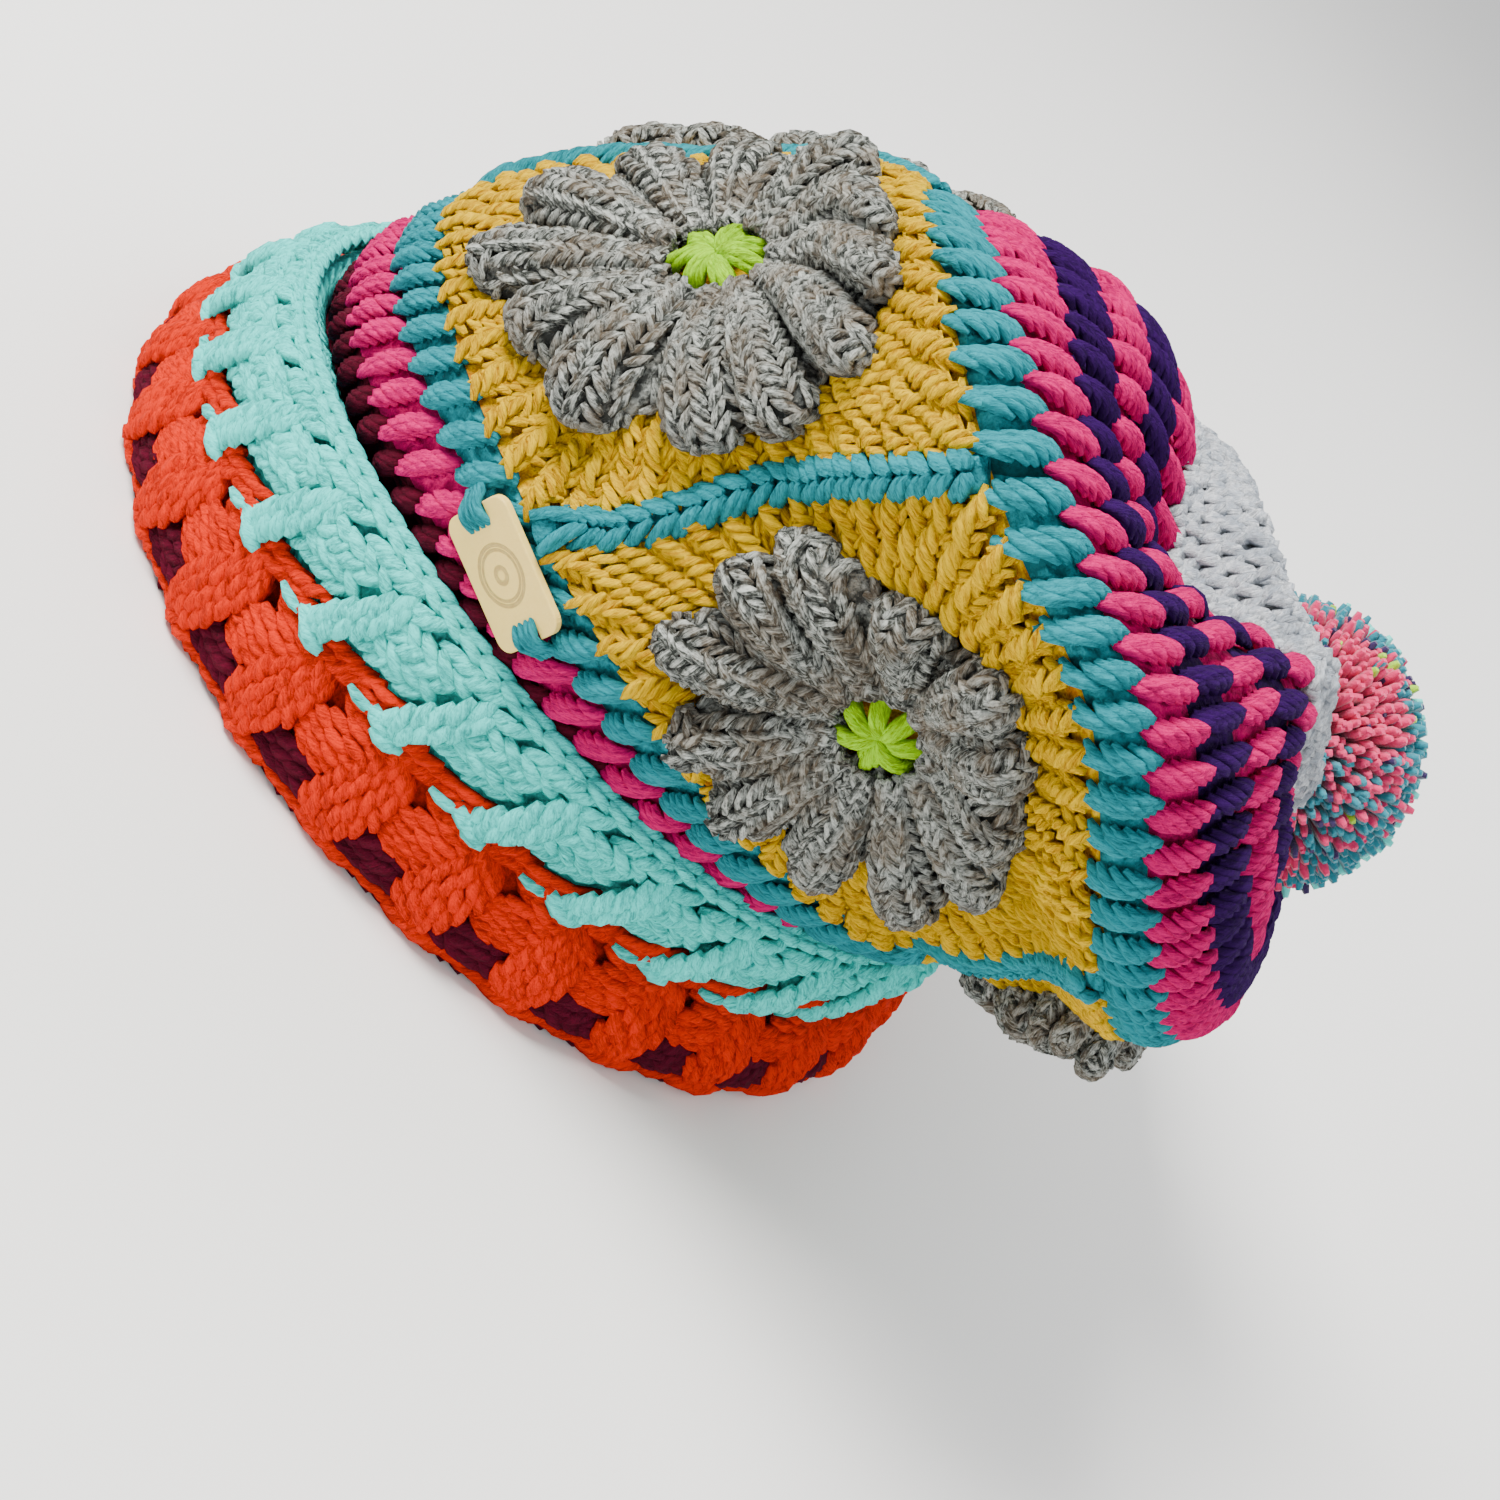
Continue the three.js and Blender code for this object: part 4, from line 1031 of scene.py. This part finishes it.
petal_shapes = chance.uniform((-0.12, 0.85, 0.92), (0.12, 1.15, 1.07), (MOTIFS, PETALS, 3))
for motif in range(MOTIFS):
    flower = Yarn()
    for petal in range(PETALS):
        s, t = np.linspace(0, 1, 11)[:, None], np.linspace(-1, 1, 7)[None, :]
        top = petal_point(motif, petal, s, t, 0.9)
        flower.ground(top)
        for rib in range(RIBS_PER_PETAL + 2):
            across = -1 + 2 * rib / (RIBS_PER_PETAL + 1)
            steps = np.linspace(0.02, 1, 16)
            line = petal_point(motif, petal, steps, across)
            beside = petal_point(motif, petal, steps, across + 0.04)
            beside = beside - petal_point(motif, petal, steps, across - 0.04)
            out = unit(np.cross(np.gradient(line, axis=0), beside))
            lean = 36 if (rib + petal) % 2 else -36
            lay_rope(flower, line, out, length=5.6, lean=lean, thick=1.15)
    flower.make(grey, f"flower_{motif + 1}", "yarn_grey", DENSE_SIDES)

    eye = Yarn()
    for arm in range(EYE_ARMS):
        arm_reach = EYE_REACH * chance.uniform(0.82, 1.12)
        for strand in (-1, -0.5, 0, 0.5, 1):
            q = np.linspace(0, 1, 7)
            fan = strand * (0.42 - 0.3 * q) + jitter(0.05)
            turn = (arm + fan) * math.tau / EYE_ARMS
            reach = arm_reach * (0.05 + 0.95 * q) * (1 - 0.2 * abs(strand))
            height = 4.2 + 2.6 * np.sin(math.pi * (0.2 + 0.8 * q)) - 2.4 * q**3 + jitter(0.6)
            points = flower_point(motif, reach, turn, height)
            eye.strands(points[None], np.linspace(0.85, 1.05, 7), 0.5 + chance.uniform(-0.2, 0.15))
    eye.make(lime, f"flower_eye_{motif + 1}", "yarn_lime", FINE_SIDES)

# The crown is worked in the same rounds of puffs, teal, pink and dark purple in turn, and sags in
# the middle where the hat slouches.
purple = yarn_finish("purple_yarn", (58, 16, 92))
CROWN_ROUNDS = (
    ("round_teal_upper", "rim", "teal_upper", 65, 0.0, teal, "yarn_teal"),
    ("round_pink_1", "teal_upper", "pink_1", 65, 0.5, pink, "yarn_pink"),
    ("round_purple_1", "pink_1", "purple_1", 60, 0.0, purple, "yarn_purple"),
    ("round_pink_2", "purple_1", "pink_2", 52, 0.5, pink, "yarn_pink"),
    ("round_purple_2", "pink_2", "purple_2", 44, 0.0, purple, "yarn_purple"),
    ("round_pink_3", "purple_2", "pink_3", 34, 0.5, pink, "yarn_pink"),
)
for node, low, high, number, shift, finish, slot in CROWN_ROUNDS:
    crochet_round(finish, node, slot, low, high, number, shift=shift, over=0.16)

# The middle of the crown is light grey heather in small bumpy stitches, drawn in to a point that
# the bobble hides.
# The larger hollow share keeps its painted shade light.
light_grey = yarn_finish("light_grey_yarn", (196, 203, 212),
                         heather=((238, 241, 245), (150, 162, 176)), hollow_shade=0.3)
cap = Yarn()
CAP_FROM = ROW["pink_3"] - 0.1
CAP_ROUNDS = 16
CAP_COLUMNS = 120
CAP_PITCH = 4.6
cap_turns = np.arange(CAP_COLUMNS) * math.tau / CAP_COLUMNS
levels = np.linspace(CAP_FROM + 0.1, LAST - 0.06, 20)[:, None]
angle = cap_turns[None, :] + seam_angle(levels)
# The ground between the stitches gets a slightly low tone: a little painted shade.
shell(cap, skin_point(angle, levels, 0.4), skin_point(angle, levels, -WALL), True, tone=0.42)
for ring in range(CAP_ROUNDS):
    row = CAP_FROM + (LAST - 0.15 - CAP_FROM) * (ring + 0.5) / CAP_ROUNDS
    circle = skin_point(cap_turns, row, 0.0)
    around = np.linalg.norm(np.diff(circle, axis=0, append=circle[:1]), axis=1).sum()
    number = max(int(around / CAP_PITCH), 3)
    q = np.linspace(-1, 1, 4)[None, None, :]
    spot = np.arange(number)[:, None, None]
    side = np.array([-1, 1])[None, :, None]
    half_round = 0.34 * math.tau / number
    turns = (spot + 0.5 * (ring % 2) + side * 0.23) * math.tau / number + side * q * half_round * 0.8
    rows = row + 0.13 * q + jitter(0.05, (number, 2, 1))
    height = 0.4 + 1.2 * (1 - q**2) + chance.uniform(-0.4, 0.8, (number, 2, 1))
    points = skin_point(turns, rows, height)
    cap.strands(points.reshape(-1, 4, 3), round_ends(q.ravel(), 1.62, 0.66),
                0.5 + jitter(0.12, (number * 2, 1)))
cap.make(light_grey, "crown_cap", "yarn_light_grey", DENSE_SIDES)

# The bobble is wound yarn, cut round its edge and clipped to a ball: cut ends of pink and teal,
# with a band of aqua and a few lime and dark purple ends.
bobble = Finish("bobble_yarn")
bobble_fibres = bobble.noise(bobble.node("ShaderNodeTexCoord", out=3), 900.0, 3.0, 0.7)
# The first colour, a dark purple, goes only on the core ball under the cut ends, as painted shade; the
# others are the yarns' own colours.
BOBBLE_COLOURS = (
    (0.0, (58, 20, 60)), (0.1, (222, 34, 100)), (0.5, (20, 126, 142)), (0.82, (90, 224, 212)),
    (0.92, (160, 214, 10)), (0.96, (40, 14, 74)),
)
bobble_colour = bobble.node("ShaderNodeValToRGB", {
    "stops": [(place, linear(colour)) for place, colour in BOBBLE_COLOURS],
}, Fac=bobble.stored("tone"))
# Painted shade: each cut end darkens toward its root at the core, down to near black, with fibres varying
# it at random.
bobble_lit = bobble.stored("yarn_length") * 125 + bobble_fibres * 0.9
bobble_shade = bobble.mix(bobble_lit.spread(0.55, 1.55, 0.22, 1.0), (0.012, 0.012, 0.016, 1),
                          bobble_colour)
bobble_relief = bobble.node("ShaderNodeBump", Strength=0.9, Distance=0.5 * MM, Height=bobble_fibres)
bobble.fill(bobble.shader, Base_Color=bobble_shade, Normal=bobble_relief, Roughness=0.9,
            Sheen_Weight=0.3)
CUT_ENDS = 3700
CORE_RADIUS = 22.0
PARTING_DEPTH = 2.5
END_SPREAD = 8.0
pompom = Yarn()
spot = np.arange(CUT_ENDS)
level = 1 - (2 * spot + 1) / CUT_ENDS
swirl = spot * math.pi * (3 - math.sqrt(5))
ways = np.stack([np.sqrt(1 - level**2) * np.cos(swirl), np.sqrt(1 - level**2) * np.sin(swirl), level], 1)
ways += chance.normal(0, 0.035, ways.shape)
ways = unit(ways)
ends = ways + chance.normal(0, 0.055, ways.shape)
reach = POMPOM_RADIUS + chance.uniform(-1.4, 1.0, CUT_ENDS)
parting = np.exp(-((ways @ rim_across + 0.15) / 0.07) ** 2) * (ways @ rim_along > -0.4)
reach = reach - PARTING_DEPTH * parting
steps = np.array([0.0, 0.5, 0.85, 1.0])
points = bobble_centre + (
    ways[:, None] * (CORE_RADIUS + (reach - CORE_RADIUS)[:, None] * steps)[..., None]
    + (ends - ways)[:, None] * END_SPREAD * (steps**2)[None, :, None]
)
across, along, up = ways @ rim_across, ways @ rim_along, ways @ rim_up
patch = np.sin(5.1 * across + 1.0) + np.sin(4.3 * along - 0.7) + np.sin(6.2 * up + 0.4)
teal_end = patch + chance.normal(0, 1.1, CUT_ENDS) > 0.1
colours = np.where(teal_end, 0.6, 0.3)
stripe = np.abs(across + 0.05) < 0.1
colours = np.where(stripe & (chance.uniform(0, 1, CUT_ENDS) < 0.75), 0.86, colours)
few = chance.uniform(0, 1, CUT_ENDS)
colours = np.where(few < 0.015, 0.94, np.where(few < 0.05, 0.98, colours))
pompom.strands(points, np.array([0.8, 1.0, 1.05, 0.6]), colours[:, None])
ball_level = np.linspace(-1, 1, 15)[:, None] * math.pi / 2 * 0.999
ball_turn = (np.arange(28) * math.tau / 28)[None, :]
ball = np.stack([np.cos(ball_level) * np.cos(ball_turn), np.cos(ball_level) * np.sin(ball_turn),
                 np.sin(ball_level) + 0 * ball_turn], -1) * (CORE_RADIUS + 1.5) + bobble_centre
# The core ball under the cut ends is painted dark, as painted shade.
pompom.ground(ball, closed=True, tone=0.05)
pompom.make(bobble.material, "pompom", "yarn_bobble", DENSE_SIDES, "pompom_yarn")
